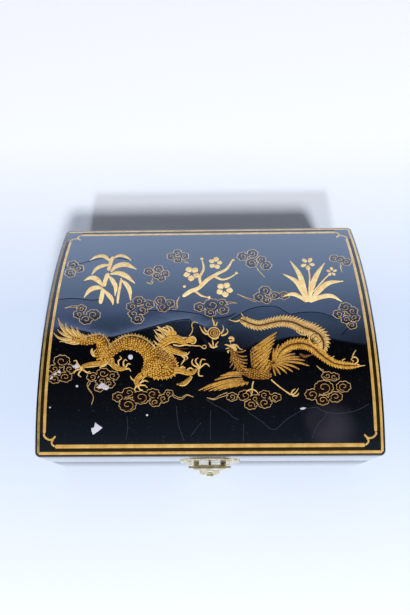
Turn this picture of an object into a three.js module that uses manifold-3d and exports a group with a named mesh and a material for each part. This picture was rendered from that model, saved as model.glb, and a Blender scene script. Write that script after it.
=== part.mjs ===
// A dome-topped lacquer box with a hinged lid, a mirror under the lid and a brass hasp on its front.
// Millimetres, +Z up, the front faces -Y. The origin is the middle of the underside.

import * as THREE from "three";
import { mergeVertices } from "three/addons/utils/BufferGeometryUtils.js";
import Module from "manifold-3d";

const wasm = await Module();
wasm.setup();

// Outside of the case and the lid
const boxWidth = 280;
const boxDepth = 215.5;
const seamHeight = 40;
const rimHeight = 76;
const vaultRise = 22.5;
const cornerRadius = 4;

// Boards
const wallThickness = 9;
const bottomThickness = 5;
const topThickness = 6;

// Clearances
const seamGap = 0.3;
const glueGap = 0.3;
const runningGap = 0.25;

// Fabric lining of the case and the lid
const padThickness = 4;
const liningThickness = 1.6;
const liningSetback = 3;

// Mirror and its frame, under a flat panel that closes the vault from below
const panelThickness = 3;
const panelHeadroom = 4;
const mirrorWidth = 190;
const mirrorDepth = 130;
const mirrorThickness = 3;
const frameWidth = 10;
const frameHeight = 5.5;
const frameLip = 2;

// Hinges on the back
const hingeInset = 56;
const hingeWidth = 34;
const hingeLeafHeight = 15;
const hingeLeafThickness = 1;
const hingeLeafCorner = 3;
const knuckleRadius = 2.4;
const hingePinRadius = 1.1;
const hingePinHead = 1.8;
const hingeScrewSpacing = 20;
const hingeScrewHeight = 9.5;

// Clasp on the front: a round plate cut in two at the seam, two ears, their pin, a hasp and a staple
const claspRadius = 26;
const claspThickness = 1;
const claspNailAcross = 17;
const claspNailHeight = 12;
const earSpacing = 23;
const earWidth = 4.8;
const earRadius = 2.2;
const claspPinRadius = 1.2;
const claspPinLength = 36.5;
const claspPinOut = 5.4;
const claspPinHeight = 6.5;
const haspThickness = 1.2;
const haspKnuckleRadius = 2.1;
const haspBorder = 3.6;
const haspTabWidth = 6;
const haspTabReach = 2.2;
const stapleWidth = 2.4;
const stapleRadius = 2.6;
const stapleReach = 7.4;
const stapleHole = 1;
const stapleDrop = 4.4;
const slotClearance = 0.5;

// Round-headed brass nails and screws
const nailHeadRadius = 1.7;
const nailHeadHeight = 0.9;
const nailShankRadius = 0.8;
const nailShankLength = 7;

// Facets: the sides of a rod, the steps of an arc in an outline, of the round plate and of the vault
const rodSides = 16;
const arcSteps = 4;
const plateSteps = 14;
const vaultSteps = 36;

// Finishes
const finish = (color, roughness, metalness) => new THREE.MeshStandardMaterial({ color, roughness, metalness });
const blackLacquer = finish(0x0b0a0a, 0.12, 0);
const brass = finish(0xb9964f, 0.35, 1);
const redSatin = finish(0x8e1420, 0.7, 0);
const silveredGlass = finish(0xdfe5e8, 0.03, 1);
const giltWood = finish(0xb08a3c, 0.45, 0.6);
const steel = finish(0x8d8f92, 0.4, 1);

// Outline helpers: every prism is an extruded outline, then laid along one axis
const acrossX = new THREE.Matrix4().makeBasis(
  new THREE.Vector3(0, 1, 0),
  new THREE.Vector3(0, 0, 1),
  new THREE.Vector3(1, 0, 0),
);

function prism(shape, low, high, basis, curveSegments = arcSteps) {
  const settings = { depth: high - low, bevelEnabled: false, curveSegments };
  const geometry = new THREE.ExtrudeGeometry(shape, settings).translate(0, 0, low);
  return basis ? geometry.applyMatrix4(basis) : geometry;
}

function slab(x0, x1, y0, y1, z0, z1) {
  const middle = [(x0 + x1) / 2, (y0 + y1) / 2, (z0 + z1) / 2];
  return new THREE.BoxGeometry(x1 - x0, y1 - y0, z1 - z0).translate(...middle);
}

function circle(x, y, radius) {
  return new THREE.Path().absarc(x, y, radius, 0, 2 * Math.PI);
}

function roundedRectangle(x0, x1, y0, y1, radius) {
  const shape = new THREE.Shape();
  shape.absarc(x1 - radius, y1 - radius, radius, 0, Math.PI / 2);
  shape.absarc(x0 + radius, y1 - radius, radius, Math.PI / 2, Math.PI);
  shape.absarc(x0 + radius, y0 + radius, radius, Math.PI, 1.5 * Math.PI);
  shape.absarc(x1 - radius, y0 + radius, radius, 1.5 * Math.PI, 2 * Math.PI);
  return shape;
}

function rodAcross(radius, length) {
  return new THREE.CylinderGeometry(radius, radius, length, rodSides).rotateZ(Math.PI / 2);
}

// Solid helpers
function solidOf(geometry) {
  const bare = geometry.clone();
  bare.deleteAttribute("normal");
  bare.deleteAttribute("uv");
  const merged = mergeVertices(bare, 1e-5);
  const mesh = new wasm.Mesh({
    numProp: 3,
    vertProperties: new Float32Array(merged.attributes.position.array),
    triVerts: new Uint32Array(merged.index.array),
  });
  return new wasm.Manifold(mesh);
}

function geometryOf(solid) {
  const { vertProperties, triVerts } = solid.getMesh();
  const geometry = new THREE.BufferGeometry();
  geometry.setAttribute("position", new THREE.BufferAttribute(vertProperties, 3));
  geometry.setIndex(new THREE.BufferAttribute(triVerts, 1));
  geometry.computeVertexNormals();
  return geometry;
}

const box = new THREE.Group();

function addPiece(name, geometry, material) {
  const mesh = new THREE.Mesh(geometry, material);
  mesh.name = name;
  box.add(mesh);
}

function cut(geometry, tools) {
  return geometryOf(tools.reduce((solid, tool) => solid.subtract(solidOf(tool)), solidOf(geometry)));
}

// Frames of the two faces that carry brass: x across, y up from the seam, z straight out of the face
const frontFace = new THREE.Matrix4()
  .makeBasis(new THREE.Vector3(1, 0, 0), new THREE.Vector3(0, 0, 1), new THREE.Vector3(0, -1, 0))
  .setPosition(0, -boxDepth / 2, seamHeight);
const backFace = new THREE.Matrix4()
  .makeBasis(new THREE.Vector3(-1, 0, 0), new THREE.Vector3(0, 0, 1), new THREE.Vector3(0, 1, 0))
  .setPosition(0, boxDepth / 2, seamHeight);

// Where the nails and screws go, in those frames
const upperNails = [-claspNailAcross, claspNailAcross].map((x) => [x, claspNailHeight]);
const lowerNails = [-claspNailAcross, claspNailAcross].map((x) => [x, -claspNailHeight]);
const hingeCentres = { left: boxWidth / 2 - hingeInset, right: hingeInset - boxWidth / 2 };
const screwOffsets = [-hingeScrewSpacing / 2, hingeScrewSpacing / 2];
const screwsAt = (height) =>
  Object.values(hingeCentres).flatMap((centre) => screwOffsets.map((offset) => [centre + offset, height]));
const lidScrews = screwsAt(hingeScrewHeight);
const baseScrews = screwsAt(-hingeScrewHeight);

function nailHoles(places, face) {
  const drill = new THREE.CylinderGeometry(
    nailShankRadius + glueGap,
    nailShankRadius + glueGap,
    2 * (nailShankLength + glueGap),
    8,
  ).rotateX(Math.PI / 2);
  return places.map(([x, y]) => drill.clone().translate(x, y, 0).applyMatrix4(face));
}

// The vault is an arc over the depth of the box
const vaultRadius = (boxDepth ** 2 / 4 + vaultRise ** 2) / (2 * vaultRise);
const vaultCentre = rimHeight + vaultRise - vaultRadius;
const vaultHeight = (y, inset) => vaultCentre + Math.sqrt((vaultRadius - inset) ** 2 - y ** 2);

function vaultLine(from, to, inset) {
  const steps = Math.max(2, Math.ceil((vaultSteps * Math.abs(to - from)) / boxDepth));
  return Array.from({ length: steps + 1 }, (_, i) => {
    const y = from + ((to - from) * i) / steps;
    return new THREE.Vector2(y, vaultHeight(y, inset));
  });
}

// Boards of the case and the lid: front and back run the full width, the ends stand between them
const halfWidth = boxWidth / 2;
const halfDepth = boxDepth / 2;
const innerWidth = halfWidth - wallThickness;
const innerDepth = halfDepth - wallThickness;
const caseTop = seamHeight - seamGap / 2;
const lidBottom = seamHeight + seamGap / 2;
const plan = roundedRectangle(-halfWidth, halfWidth, -halfDepth, halfDepth, cornerRadius);
const planPrism = solidOf(prism(plan, -1, rimHeight + vaultRise + 1));
const trimToPlan = (geometry) => geometryOf(solidOf(geometry).intersect(planPrism));

function caseBoards() {
  const front = trimToPlan(slab(-halfWidth, halfWidth, -halfDepth, -innerDepth, 0, caseTop));
  const back = trimToPlan(slab(-halfWidth, halfWidth, innerDepth, halfDepth, 0, caseTop));
  addPiece("base_front_board", cut(front, nailHoles(lowerNails, frontFace)), blackLacquer);
  addPiece("base_back_board", cut(back, nailHoles(baseScrews, backFace)), blackLacquer);
  const left = slab(-halfWidth, -innerWidth, -innerDepth, innerDepth, 0, caseTop);
  addPiece("base_left_board", left, blackLacquer);
  const right = slab(innerWidth, halfWidth, -innerDepth, innerDepth, 0, caseTop);
  addPiece("base_right_board", right, blackLacquer);
  const bottom = slab(-innerWidth, innerWidth, -innerDepth, innerDepth, 0, bottomThickness);
  addPiece("bottom_board", bottom, blackLacquer);
}

function lidWall(from, to) {
  const top = vaultLine(to, from, topThickness + glueGap);
  return new THREE.Shape([new THREE.Vector2(from, lidBottom), new THREE.Vector2(to, lidBottom), ...top]);
}

function lidBoards() {
  const front = trimToPlan(prism(lidWall(-halfDepth, -innerDepth), -halfWidth, halfWidth, acrossX));
  const back = trimToPlan(prism(lidWall(innerDepth, halfDepth), -halfWidth, halfWidth, acrossX));
  addPiece("lid_front_rail", cut(front, nailHoles(upperNails, frontFace)), blackLacquer);
  addPiece("lid_back_rail", cut(back, nailHoles(lidScrews, backFace)), blackLacquer);
  const arched = lidWall(-innerDepth, innerDepth);
  addPiece("lid_left_end", prism(arched, -halfWidth, -innerWidth, acrossX), blackLacquer);
  addPiece("lid_right_end", prism(arched, innerWidth, halfWidth, acrossX), blackLacquer);
  const outside = vaultLine(-halfDepth, halfDepth, 0);
  const inside = vaultLine(halfDepth, -halfDepth, topThickness);
  const panel = prism(new THREE.Shape([...outside, ...inside]), -halfWidth, halfWidth, acrossX);
  addPiece("lid_top_panel", trimToPlan(panel), blackLacquer);
}

// Lining: a padded floor, four covered cards round the case and four round the lid
const liningOuterX = innerWidth - glueGap;
const liningOuterY = innerDepth - glueGap;
const liningInnerX = liningOuterX - liningThickness;
const liningInnerY = liningOuterY - liningThickness;
const padTop = bottomThickness + glueGap + padThickness;
const panelTop = vaultHeight(innerDepth, topThickness) - panelHeadroom;
const panelBottom = panelTop - panelThickness;

function liningCards(prefix, low, high) {
  const endY = liningInnerY - glueGap;
  addPiece(prefix + "_front", slab(-liningOuterX, liningOuterX, -liningOuterY, -liningInnerY, low, high), redSatin);
  addPiece(prefix + "_back", slab(-liningOuterX, liningOuterX, liningInnerY, liningOuterY, low, high), redSatin);
  addPiece(prefix + "_left", slab(-liningOuterX, -liningInnerX, -endY, endY, low, high), redSatin);
  addPiece(prefix + "_right", slab(liningInnerX, liningOuterX, -endY, endY, low, high), redSatin);
}

function lining() {
  const padBottom = bottomThickness + glueGap;
  const pad = slab(-liningOuterX, liningOuterX, -liningOuterY, liningOuterY, padBottom, padTop);
  addPiece("lining_floor", pad, redSatin);
  liningCards("lining", padTop + glueGap, seamHeight - liningSetback);
  liningCards("lid_lining", seamHeight + liningSetback, panelBottom - glueGap);
  const panel = slab(-liningOuterX, liningOuterX, -liningOuterY, liningOuterY, panelBottom, panelTop);
  addPiece("lid_inner_panel", panel, redSatin);
}

// Mirror under the flat panel, held by four gilt strips that lap its edge
function frameStrip(edge, length, basis) {
  const inner = edge - frameLip;
  const outer = inner + frameWidth;
  const top = 0;
  const lipTop = -mirrorThickness - glueGap;
  const outline = [
    [edge + glueGap, top],
    [edge + glueGap, lipTop],
    [inner, lipTop],
    [inner, -frameHeight],
    [outer, -frameHeight],
    [outer, top],
  ];
  const shape = new THREE.Shape(outline.map(([x, y]) => new THREE.Vector2(x, y)));
  return prism(shape, -length / 2, length / 2, basis);
}

function mirror() {
  const top = panelBottom - glueGap;
  const halfX = mirrorWidth / 2;
  const halfY = mirrorDepth / 2;
  addPiece("mirror", slab(-halfX, halfX, -halfY, halfY, top - mirrorThickness, top), silveredGlass);
  const up = new THREE.Vector3(0, 0, 1);
  const longLength = 2 * (halfX - frameLip + frameWidth);
  const shortLength = 2 * (halfY - frameLip - glueGap);
  const sides = [
    ["mirror_frame_back", new THREE.Vector3(0, 1, 0), halfY, longLength],
    ["mirror_frame_front", new THREE.Vector3(0, -1, 0), halfY, longLength],
    ["mirror_frame_right", new THREE.Vector3(1, 0, 0), halfX, shortLength],
    ["mirror_frame_left", new THREE.Vector3(-1, 0, 0), halfX, shortLength],
  ];
  for (const [name, outward, edge, length] of sides) {
    const along = new THREE.Vector3().crossVectors(outward, up);
    const basis = new THREE.Matrix4().makeBasis(outward, up, along).setPosition(0, 0, top);
    addPiece(name, frameStrip(edge, length, basis), giltWood);
  }
}

// Nails and screws: a shank in the wood and a domed head on the brass, along z of the face
function nail(x, y, plateThickness, face) {
  const dome = Array.from({ length: 5 }, (_, i) => {
    const angle = (i / 4) * (Math.PI / 2);
    return new THREE.Vector2(nailHeadRadius * Math.cos(angle), plateThickness + nailHeadHeight * Math.sin(angle));
  });
  dome[dome.length - 1].x = 0;
  const profile = [
    new THREE.Vector2(0, -nailShankLength),
    new THREE.Vector2(nailShankRadius, 1 - nailShankLength),
    new THREE.Vector2(nailShankRadius, plateThickness),
    ...dome,
  ];
  return new THREE.LatheGeometry(profile, 12).rotateX(Math.PI / 2).translate(x, y, 0).applyMatrix4(face);
}

function nailsOn(prefix, places, plateThickness, face) {
  places.forEach(([x, y], i) => addPiece(`${prefix}_${i + 1}`, nail(x, y, plateThickness, face), brass));
}

// Hinges: two leaves on the outside of the back, three knuckles and a pin
const hingeAxisOut = knuckleRadius + runningGap;
const knuckleLength = hingeWidth / 3;

function hingeLeaf(centre, up, knuckles) {
  const edge = hingePinRadius;
  const notch = knuckleRadius + runningGap;
  const top = hingeLeafHeight;
  const half = hingeWidth / 2;
  const round = hingeLeafCorner;
  const plate = new THREE.Shape();
  plate.moveTo(-half, edge);
  plate.lineTo(half, edge);
  plate.lineTo(half, top - round);
  plate.absarc(half - round, top - round, round, 0, Math.PI / 2);
  plate.absarc(round - half, top - round, round, Math.PI / 2, Math.PI);
  for (const offset of screwOffsets) {
    plate.holes.push(circle(offset, hingeScrewHeight, nailShankRadius + glueGap));
  }
  let leaf = solidOf(prism(plate, 0, hingeLeafThickness));
  for (const slot of [-1, 0, 1]) {
    const middle = slot * knuckleLength;
    const own = knuckles.includes(slot);
    const length = own ? knuckleLength - runningGap : knuckleLength + runningGap;
    if (own) {
      leaf = leaf.add(solidOf(rodAcross(knuckleRadius, length).translate(middle, 0, hingeAxisOut)));
    } else {
      const room = slab(middle - length / 2, middle + length / 2, -notch, notch, -1, hingeLeafThickness + 1);
      leaf = leaf.subtract(solidOf(room));
    }
  }
  const bore = rodAcross(hingePinRadius + runningGap, hingeWidth + 2).translate(0, 0, hingeAxisOut);
  const place = new THREE.Matrix4().makeTranslation(centre, 0, 0);
  const turn = up > 0 ? new THREE.Matrix4() : new THREE.Matrix4().makeScale(-1, -1, 1);
  return geometryOf(leaf.subtract(solidOf(bore))).applyMatrix4(turn).applyMatrix4(place).applyMatrix4(backFace);
}

function hingePin(centre) {
  const half = hingeWidth / 2;
  const head = [
    [0, half + hingePinHead],
    [hingePinHead * 0.75, half + hingePinHead * 0.7],
    [hingePinHead, half + runningGap],
    [hingePinRadius, half + runningGap],
  ];
  const foot = head.map(([radius, along]) => [radius, -along]);
  const profile = [...foot, ...head.reverse()].map(([radius, along]) => new THREE.Vector2(radius, along));
  const pin = new THREE.LatheGeometry(profile, rodSides).rotateZ(Math.PI / 2);
  return pin.translate(centre, 0, hingeAxisOut).applyMatrix4(backFace);
}

function hinges() {
  for (const [side, centre] of Object.entries(hingeCentres)) {
    addPiece(`hinge_${side}_base_leaf`, hingeLeaf(centre, -1, [-1, 1]), brass);
    addPiece(`hinge_${side}_lid_leaf`, hingeLeaf(centre, 1, [0]), brass);
    addPiece(`hinge_${side}_pin`, hingePin(centre), steel);
  }
  nailsOn("hinge_base_screw", baseScrews, hingeLeafThickness, backFace);
  nailsOn("hinge_lid_screw", lidScrews, hingeLeafThickness, backFace);
}

// Clasp: plates on the front, ears and staple standing on them, and the hasp on its pin
const haspHalfWidth = (earSpacing - earWidth) / 2 - runningGap;
const haspInner = -haspKnuckleRadius;
const haspOuter = haspInner + haspThickness;
const stapleHeight = -stapleDrop;
const slotTop = stapleHeight + stapleRadius + slotClearance - claspPinHeight;
const slotBottom = stapleHeight - stapleRadius - slotClearance - claspPinHeight;
const slotHalfWidth = stapleWidth / 2 + slotClearance;
const haspFoot = slotBottom - haspBorder;

// The hasp rests tilted out until the bar under its slot stands clear of the staple's nose
const haspReach = Math.hypot(haspInner, slotBottom);
const haspLean = Math.atan2(-haspInner, -slotBottom);
const haspTilt = haspLean + Math.asin((stapleReach + slotClearance - claspPinOut) / haspReach);

function halfPlate(sign) {
  const edge = seamGap / 2;
  const start = Math.asin(edge / claspRadius);
  const plate = new THREE.Shape();
  plate.absarc(0, 0, claspRadius, start, Math.PI - start);
  for (const x of [-claspNailAcross, claspNailAcross]) {
    plate.holes.push(circle(x, claspNailHeight, nailShankRadius + glueGap));
  }
  const turn = sign > 0 ? new THREE.Matrix4() : new THREE.Matrix4().makeScale(-1, -1, 1);
  return prism(plate, 0, claspThickness, turn, plateSteps).applyMatrix4(frontFace);
}

function standingLoop(x, width, height, noseOut, radius, hole) {
  const outline = new THREE.Shape();
  outline.moveTo(height + radius, claspThickness);
  outline.absarc(height, noseOut, radius, 0, Math.PI);
  outline.lineTo(height - radius, claspThickness);
  outline.holes.push(circle(height, noseOut, hole));
  return prism(outline, x - width / 2, x + width / 2, acrossX).applyMatrix4(frontFace);
}

function haspPin() {
  const half = claspPinLength / 2;
  const round = claspPinRadius * 0.7;
  const foot = [
    [0, -half],
    [round, -half],
    [claspPinRadius, round - half],
  ];
  const tip = foot.map(([radius, along]) => [radius, -along]).reverse();
  const profile = [...foot, ...tip].map(([radius, along]) => new THREE.Vector2(radius, along));
  const pin = new THREE.LatheGeometry(profile, rodSides).rotateZ(Math.PI / 2);
  return pin.translate(0, claspPinHeight, claspPinOut).applyMatrix4(frontFace);
}

function hasp() {
  const shoulder = haspFoot + haspHalfWidth * 0.55;
  const outline = new THREE.Shape();
  outline.moveTo(-haspHalfWidth, 0);
  outline.lineTo(-haspHalfWidth, shoulder);
  outline.quadraticCurveTo(-haspHalfWidth, haspFoot, -haspTabWidth / 2, haspFoot);
  outline.lineTo(haspTabWidth / 2, haspFoot);
  outline.quadraticCurveTo(haspHalfWidth, haspFoot, haspHalfWidth, shoulder);
  outline.lineTo(haspHalfWidth, 0);
  outline.holes.push(roundedRectangle(-slotHalfWidth, slotHalfWidth, slotBottom, slotTop, slotHalfWidth / 2));
  const plate = solidOf(prism(outline, haspInner, haspOuter));
  const knuckle = solidOf(rodAcross(haspKnuckleRadius, 2 * haspHalfWidth));
  const tabLow = haspFoot - haspThickness / 2;
  const tabHigh = haspFoot + haspThickness / 2;
  const tab = slab(-haspTabWidth / 2, haspTabWidth / 2, tabLow, tabHigh, haspInner, haspInner + haspTabReach);
  const bore = solidOf(rodAcross(claspPinRadius + runningGap, 2 * haspHalfWidth + 2));
  const whole = geometryOf(plate.add(knuckle).add(solidOf(tab)).subtract(bore));
  return whole.rotateX(-haspTilt).translate(0, claspPinHeight, claspPinOut).applyMatrix4(frontFace);
}

function clasp() {
  addPiece("clasp_upper_plate", halfPlate(1), brass);
  addPiece("clasp_lower_plate", halfPlate(-1), brass);
  const ear = (x) => {
    const hole = claspPinRadius + runningGap;
    return standingLoop(x, earWidth, claspPinHeight, claspPinOut, earRadius, hole);
  };
  addPiece("clasp_left_ear", ear(-earSpacing / 2), brass);
  addPiece("clasp_right_ear", ear(earSpacing / 2), brass);
  const noseOut = stapleReach - stapleRadius;
  addPiece("staple", standingLoop(0, stapleWidth, stapleHeight, noseOut, stapleRadius, stapleHole), brass);
  addPiece("hasp_pin", haspPin(), brass);
  addPiece("hasp", hasp(), brass);
  nailsOn("upper_plate_nail", upperNails, claspThickness, frontFace);
  nailsOn("lower_plate_nail", lowerNails, claspThickness, frontFace);
}

caseBoards();
lidBoards();
lining();
mirror();
hinges();
clasp();

export default box;
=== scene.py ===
"""A dome-topped black lacquer box with gold painting, a brass clasp and a satin lining, on its CAD frame."""

import math

import bmesh
import bpy
import numpy as np
from mathutils import Matrix, Vector, noise


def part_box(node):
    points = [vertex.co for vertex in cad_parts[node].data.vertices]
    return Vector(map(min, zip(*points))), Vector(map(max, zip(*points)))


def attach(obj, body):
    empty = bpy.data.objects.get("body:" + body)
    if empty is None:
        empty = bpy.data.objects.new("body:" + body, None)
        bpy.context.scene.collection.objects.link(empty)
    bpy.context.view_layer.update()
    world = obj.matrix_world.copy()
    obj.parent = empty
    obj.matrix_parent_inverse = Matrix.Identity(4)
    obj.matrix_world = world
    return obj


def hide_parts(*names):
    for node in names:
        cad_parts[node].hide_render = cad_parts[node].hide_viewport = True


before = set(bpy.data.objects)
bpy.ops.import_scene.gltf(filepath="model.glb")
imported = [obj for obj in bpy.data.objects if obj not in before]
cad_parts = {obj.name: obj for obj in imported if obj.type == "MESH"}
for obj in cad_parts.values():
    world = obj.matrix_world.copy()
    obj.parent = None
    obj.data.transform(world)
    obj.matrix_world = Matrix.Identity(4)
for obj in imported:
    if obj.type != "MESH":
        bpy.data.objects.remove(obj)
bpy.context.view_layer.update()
scene = bpy.context.scene
scene.view_settings.view_transform = "Standard"
MM = 0.001

# Camera
# A hand-held view from above the front edge, looking down at the lid. The place and turn follow from the
# edges of the box in the photograph, and so does the focal length, in photograph pixels.
PHOTO_WIDTH, PHOTO_HEIGHT = 410, 615
FOCAL_PIXELS = 466.14
SENSOR = 36
CAMERA_PLACE = Vector((3.12, -153.52, 463.01)) * MM
TILT_FROM_DOWN, YAW, ROLL = math.radians(24.48), math.radians(2.037), math.radians(-2.41)

yaw_turn = Matrix.Rotation(YAW, 3, "Z")
level_right = yaw_turn @ Vector((1, 0, 0))
level_up = yaw_turn @ Vector((0, math.cos(TILT_FROM_DOWN), math.sin(TILT_FROM_DOWN)))
view_forward = yaw_turn @ Vector((0, math.sin(TILT_FROM_DOWN), -math.cos(TILT_FROM_DOWN)))
view_right = math.cos(ROLL) * level_right + math.sin(ROLL) * level_up
view_up = math.cos(ROLL) * level_up - math.sin(ROLL) * level_right

camera = bpy.data.objects.new("camera", bpy.data.cameras.new("camera"))
scene.collection.objects.link(camera)
camera.data.sensor_width = SENSOR
camera.data.lens = FOCAL_PIXELS * SENSOR / PHOTO_HEIGHT
turn = Matrix((view_right, view_up, -view_forward)).transposed().to_4x4()
camera.matrix_world = Matrix.Translation(CAMERA_PLACE) @ turn
scene.camera = camera


# Table, lamps and surroundings
# A pale table, whose colour is painted darker and bluer near the box and paler further off: painted shade
# near the box and painted light far from it. Two soft lamps stand in front, low enough to throw the shadow
# behind the box. A pale window wall behind the box is what the polished lid mirrors, and it is dark above and
# in front.
def linear(colour):
    """An sRGB hex colour as linear red, green, blue and alpha."""
    channels = [int(colour[i : i + 2], 16) / 255 for i in (1, 3, 5)]
    return tuple(c / 12.92 if c <= 0.04045 else ((c + 0.055) / 1.055) ** 2.4 for c in channels) + (1.0,)


def add_node(tree, kind, inputs=None, **settings):
    """A node with its settings, and its inputs as values or as links from other sockets."""
    node = tree.nodes.new(kind)
    for name, value in settings.items():
        setattr(node, name, value)
    for name, value in (inputs or {}).items():
        if isinstance(value, bpy.types.NodeSocket):
            tree.links.new(value, node.inputs[name])
        else:
            node.inputs[name].default_value = value
    return node


def new_material(name, **principled):
    """An empty material with a Principled shader, whose inputs are given by name with _ for a space."""
    material = bpy.data.materials.new(name)
    material.use_nodes = True
    tree = material.node_tree
    shader = tree.nodes["Principled BSDF"]
    for key, value in principled.items():
        shader.inputs[key.replace("_", " ")].default_value = value
    return material, tree, shader


TABLE_REACH = 8.0
# The table's colour runs from TABLE_NEAR by the box to TABLE_FAR further off, as painted shade and light.
TABLE_NEAR, TABLE_FAR = "#D3DFF0", "#FCFDFE"
TABLE_PALE_FROM, TABLE_PALE_TO = 0.05, 0.30
LAMP_DISTANCE = 8.0
# Each lamp: name, azimuth, elevation, size in metres, watts and colour.
LAMPS = [
    ("key_lamp", math.radians(17), math.radians(43), 1.1, 625, "#FAFBFF"),
    ("second_lamp", math.radians(-1.5), math.radians(36.4), 0.44, 315, "#EEF4FF"),
]
AMBIENT_COLOUR, AMBIENT_STRENGTH = "#F4F1F6", 0.20
WINDOW_BRIGHTEST = 3.2
# From the horizon behind the box, over the top, to the horizon in front: degrees, strength and colour.
WINDOW_PROFILE = [
    (0, 2.2, "#BDD5FF"), (14, 2.6, "#BDD5FF"), (22, 2.9, "#BCD6FF"), (32, 3.1, "#B8D2FF"),
    (39, 3.14, "#B2CFFF"), (46, 2.72, "#B6D3FF"), (50, 2.64, "#ADCEFF"), (58, 2.12, "#ADC9FF"),
    (62, 2.03, "#A3C0FF"), (65, 1.4, "#9DC2FF"), (69, 0.99, "#A3C9FF"), (72.5, 0.61, "#9FC0FF"),
    (75.5, 0.33, "#AAC2FF"), (79, 0.03, "#AAC2FF"), (90, 0.012, "#C0D0FF"), (97, 0.042, "#B6D2FF"),
    (105, 0.062, "#BBD5FF"), (112, 0.096, "#AFD2FF"), (121, 0.17, "#AFD0FF"), (130, 0.3, "#C4D4F0"),
    (150, 0.7, "#D8E0F0"), (180, 0.9, "#E4E8F0"),
]

table_mesh = bpy.data.meshes.new("table")
corners = [(x * TABLE_REACH, y * TABLE_REACH, 0) for x, y in ((-1, -1), (1, -1), (1, 1), (-1, 1))]
table_mesh.from_pydata(corners, [], [(0, 1, 2, 3)])
table = bpy.data.objects.new("table", table_mesh)
scene.collection.objects.link(table)
table_paint, table_tree, table_shader = new_material("matt_white_table", Roughness=0.85)
table_place = add_node(table_tree, "ShaderNodeTexCoord").outputs["Object"]
table_axes = add_node(table_tree, "ShaderNodeSeparateXYZ", {"Vector": table_place})
table_depth = add_node(table_tree, "ShaderNodeMath", {0: table_axes.outputs["Y"]}, operation="ABSOLUTE")
table_share = add_node(
    table_tree,
    "ShaderNodeMapRange",
    {"Value": table_depth.outputs["Value"], "From Min": TABLE_PALE_FROM, "From Max": TABLE_PALE_TO},
)
# Painted shade and light: the colour is darker near the box and paler further off.
table_colour = add_node(
    table_tree,
    "ShaderNodeMix",
    {0: table_share.outputs["Result"], 6: linear(TABLE_NEAR), 7: linear(TABLE_FAR)},
    data_type="RGBA",
)
table_tree.links.new(table_colour.outputs[2], table_shader.inputs["Base Color"])
table_mesh.materials.append(table_paint)

for lamp_name, azimuth, elevation, lamp_size, lamp_watts, lamp_colour in LAMPS:
    lamp = bpy.data.objects.new(lamp_name, bpy.data.lights.new(lamp_name, "AREA"))
    scene.collection.objects.link(lamp)
    lamp.data.size = lamp_size
    lamp.data.energy = lamp_watts
    lamp.data.color = linear(lamp_colour)[:3]
    level = math.cos(elevation)
    toward = Vector((level * math.sin(azimuth), -level * math.cos(azimuth), math.sin(elevation)))
    lamp.visible_glossy = False
    aim = toward.to_track_quat("Z", "Y").to_matrix().to_4x4()
    lamp.matrix_world = Matrix.Translation(toward * LAMP_DISTANCE) @ aim

world = bpy.data.worlds.new("room")
scene.world = world
world.use_nodes = True
room = world.node_tree
room.nodes.clear()
direction = add_node(room, "ShaderNodeTexCoord")
axes = add_node(room, "ShaderNodeSeparateXYZ", {"Vector": direction.outputs["Generated"]})
height_angle = add_node(
    room, "ShaderNodeMath", {0: axes.outputs["Z"], 1: axes.outputs["Y"]}, operation="ARCTAN2"
)
height_share = add_node(
    room, "ShaderNodeMath", {0: height_angle.outputs["Value"], 1: math.pi}, operation="DIVIDE"
)
window = add_node(room, "ShaderNodeValToRGB", {"Fac": height_share.outputs["Value"]})
steps = window.color_ramp.elements
for number, (angle, strength, colour) in enumerate(WINDOW_PROFILE):
    step = steps[number] if number < 2 else steps.new(angle / 180)
    step.position = angle / 180
    step.color = [channel * strength / WINDOW_BRIGHTEST for channel in linear(colour)[:3]] + [1.0]
seen_in_gloss = add_node(
    room, "ShaderNodeBackground", {"Color": window.outputs["Color"], "Strength": WINDOW_BRIGHTEST}
)
ambient = add_node(
    room, "ShaderNodeBackground", {"Color": linear(AMBIENT_COLOUR), "Strength": AMBIENT_STRENGTH}
)
backdrop = add_node(room, "ShaderNodeBackground", {"Color": linear("#FFFFFF"), "Strength": 1.0})
ray = add_node(room, "ShaderNodeLightPath")
lit = add_node(
    room,
    "ShaderNodeMixShader",
    {
        0: ray.outputs["Is Glossy Ray"],
        1: ambient.outputs["Background"],
        2: seen_in_gloss.outputs["Background"],
    },
)
shown = add_node(
    room, "ShaderNodeMixShader", {0: ray.outputs["Is Camera Ray"], 1: lit.outputs[0], 2: backdrop.outputs[0]}
)
add_node(room, "ShaderNodeOutputWorld", {"Surface": shown.outputs[0]})


# Black lacquer
# Many thin coats over wood, polished: deep black, a hard mirror gloss, with faint waves, rubbed patches
# where hands have dulled it, and dust-fine scratches. Two soft brownish-grey patches at the front right of
# the lid are a painted reflection in its colour.
LACQUER_BLACK, LACQUER_DUST = "#040405", "#30383E"
DUST_PER_MM, RUBBED_PER_MM, WAVES_PER_MM, SCRATCHES_PER_MM = 0.48, 0.028, 0.06, 0.9
WAVE_DEPTH, SCRATCH_DEPTH = 0.25 * MM, 0.03 * MM
# Each painted reflection patch: its middle and its reach in millimetres, and its colour.
PAINTED_REFLECTIONS = [((98, -87, 84), 24, "#29252B"), ((86, -80, 86.5), 14, "#1C191E")]


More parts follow.
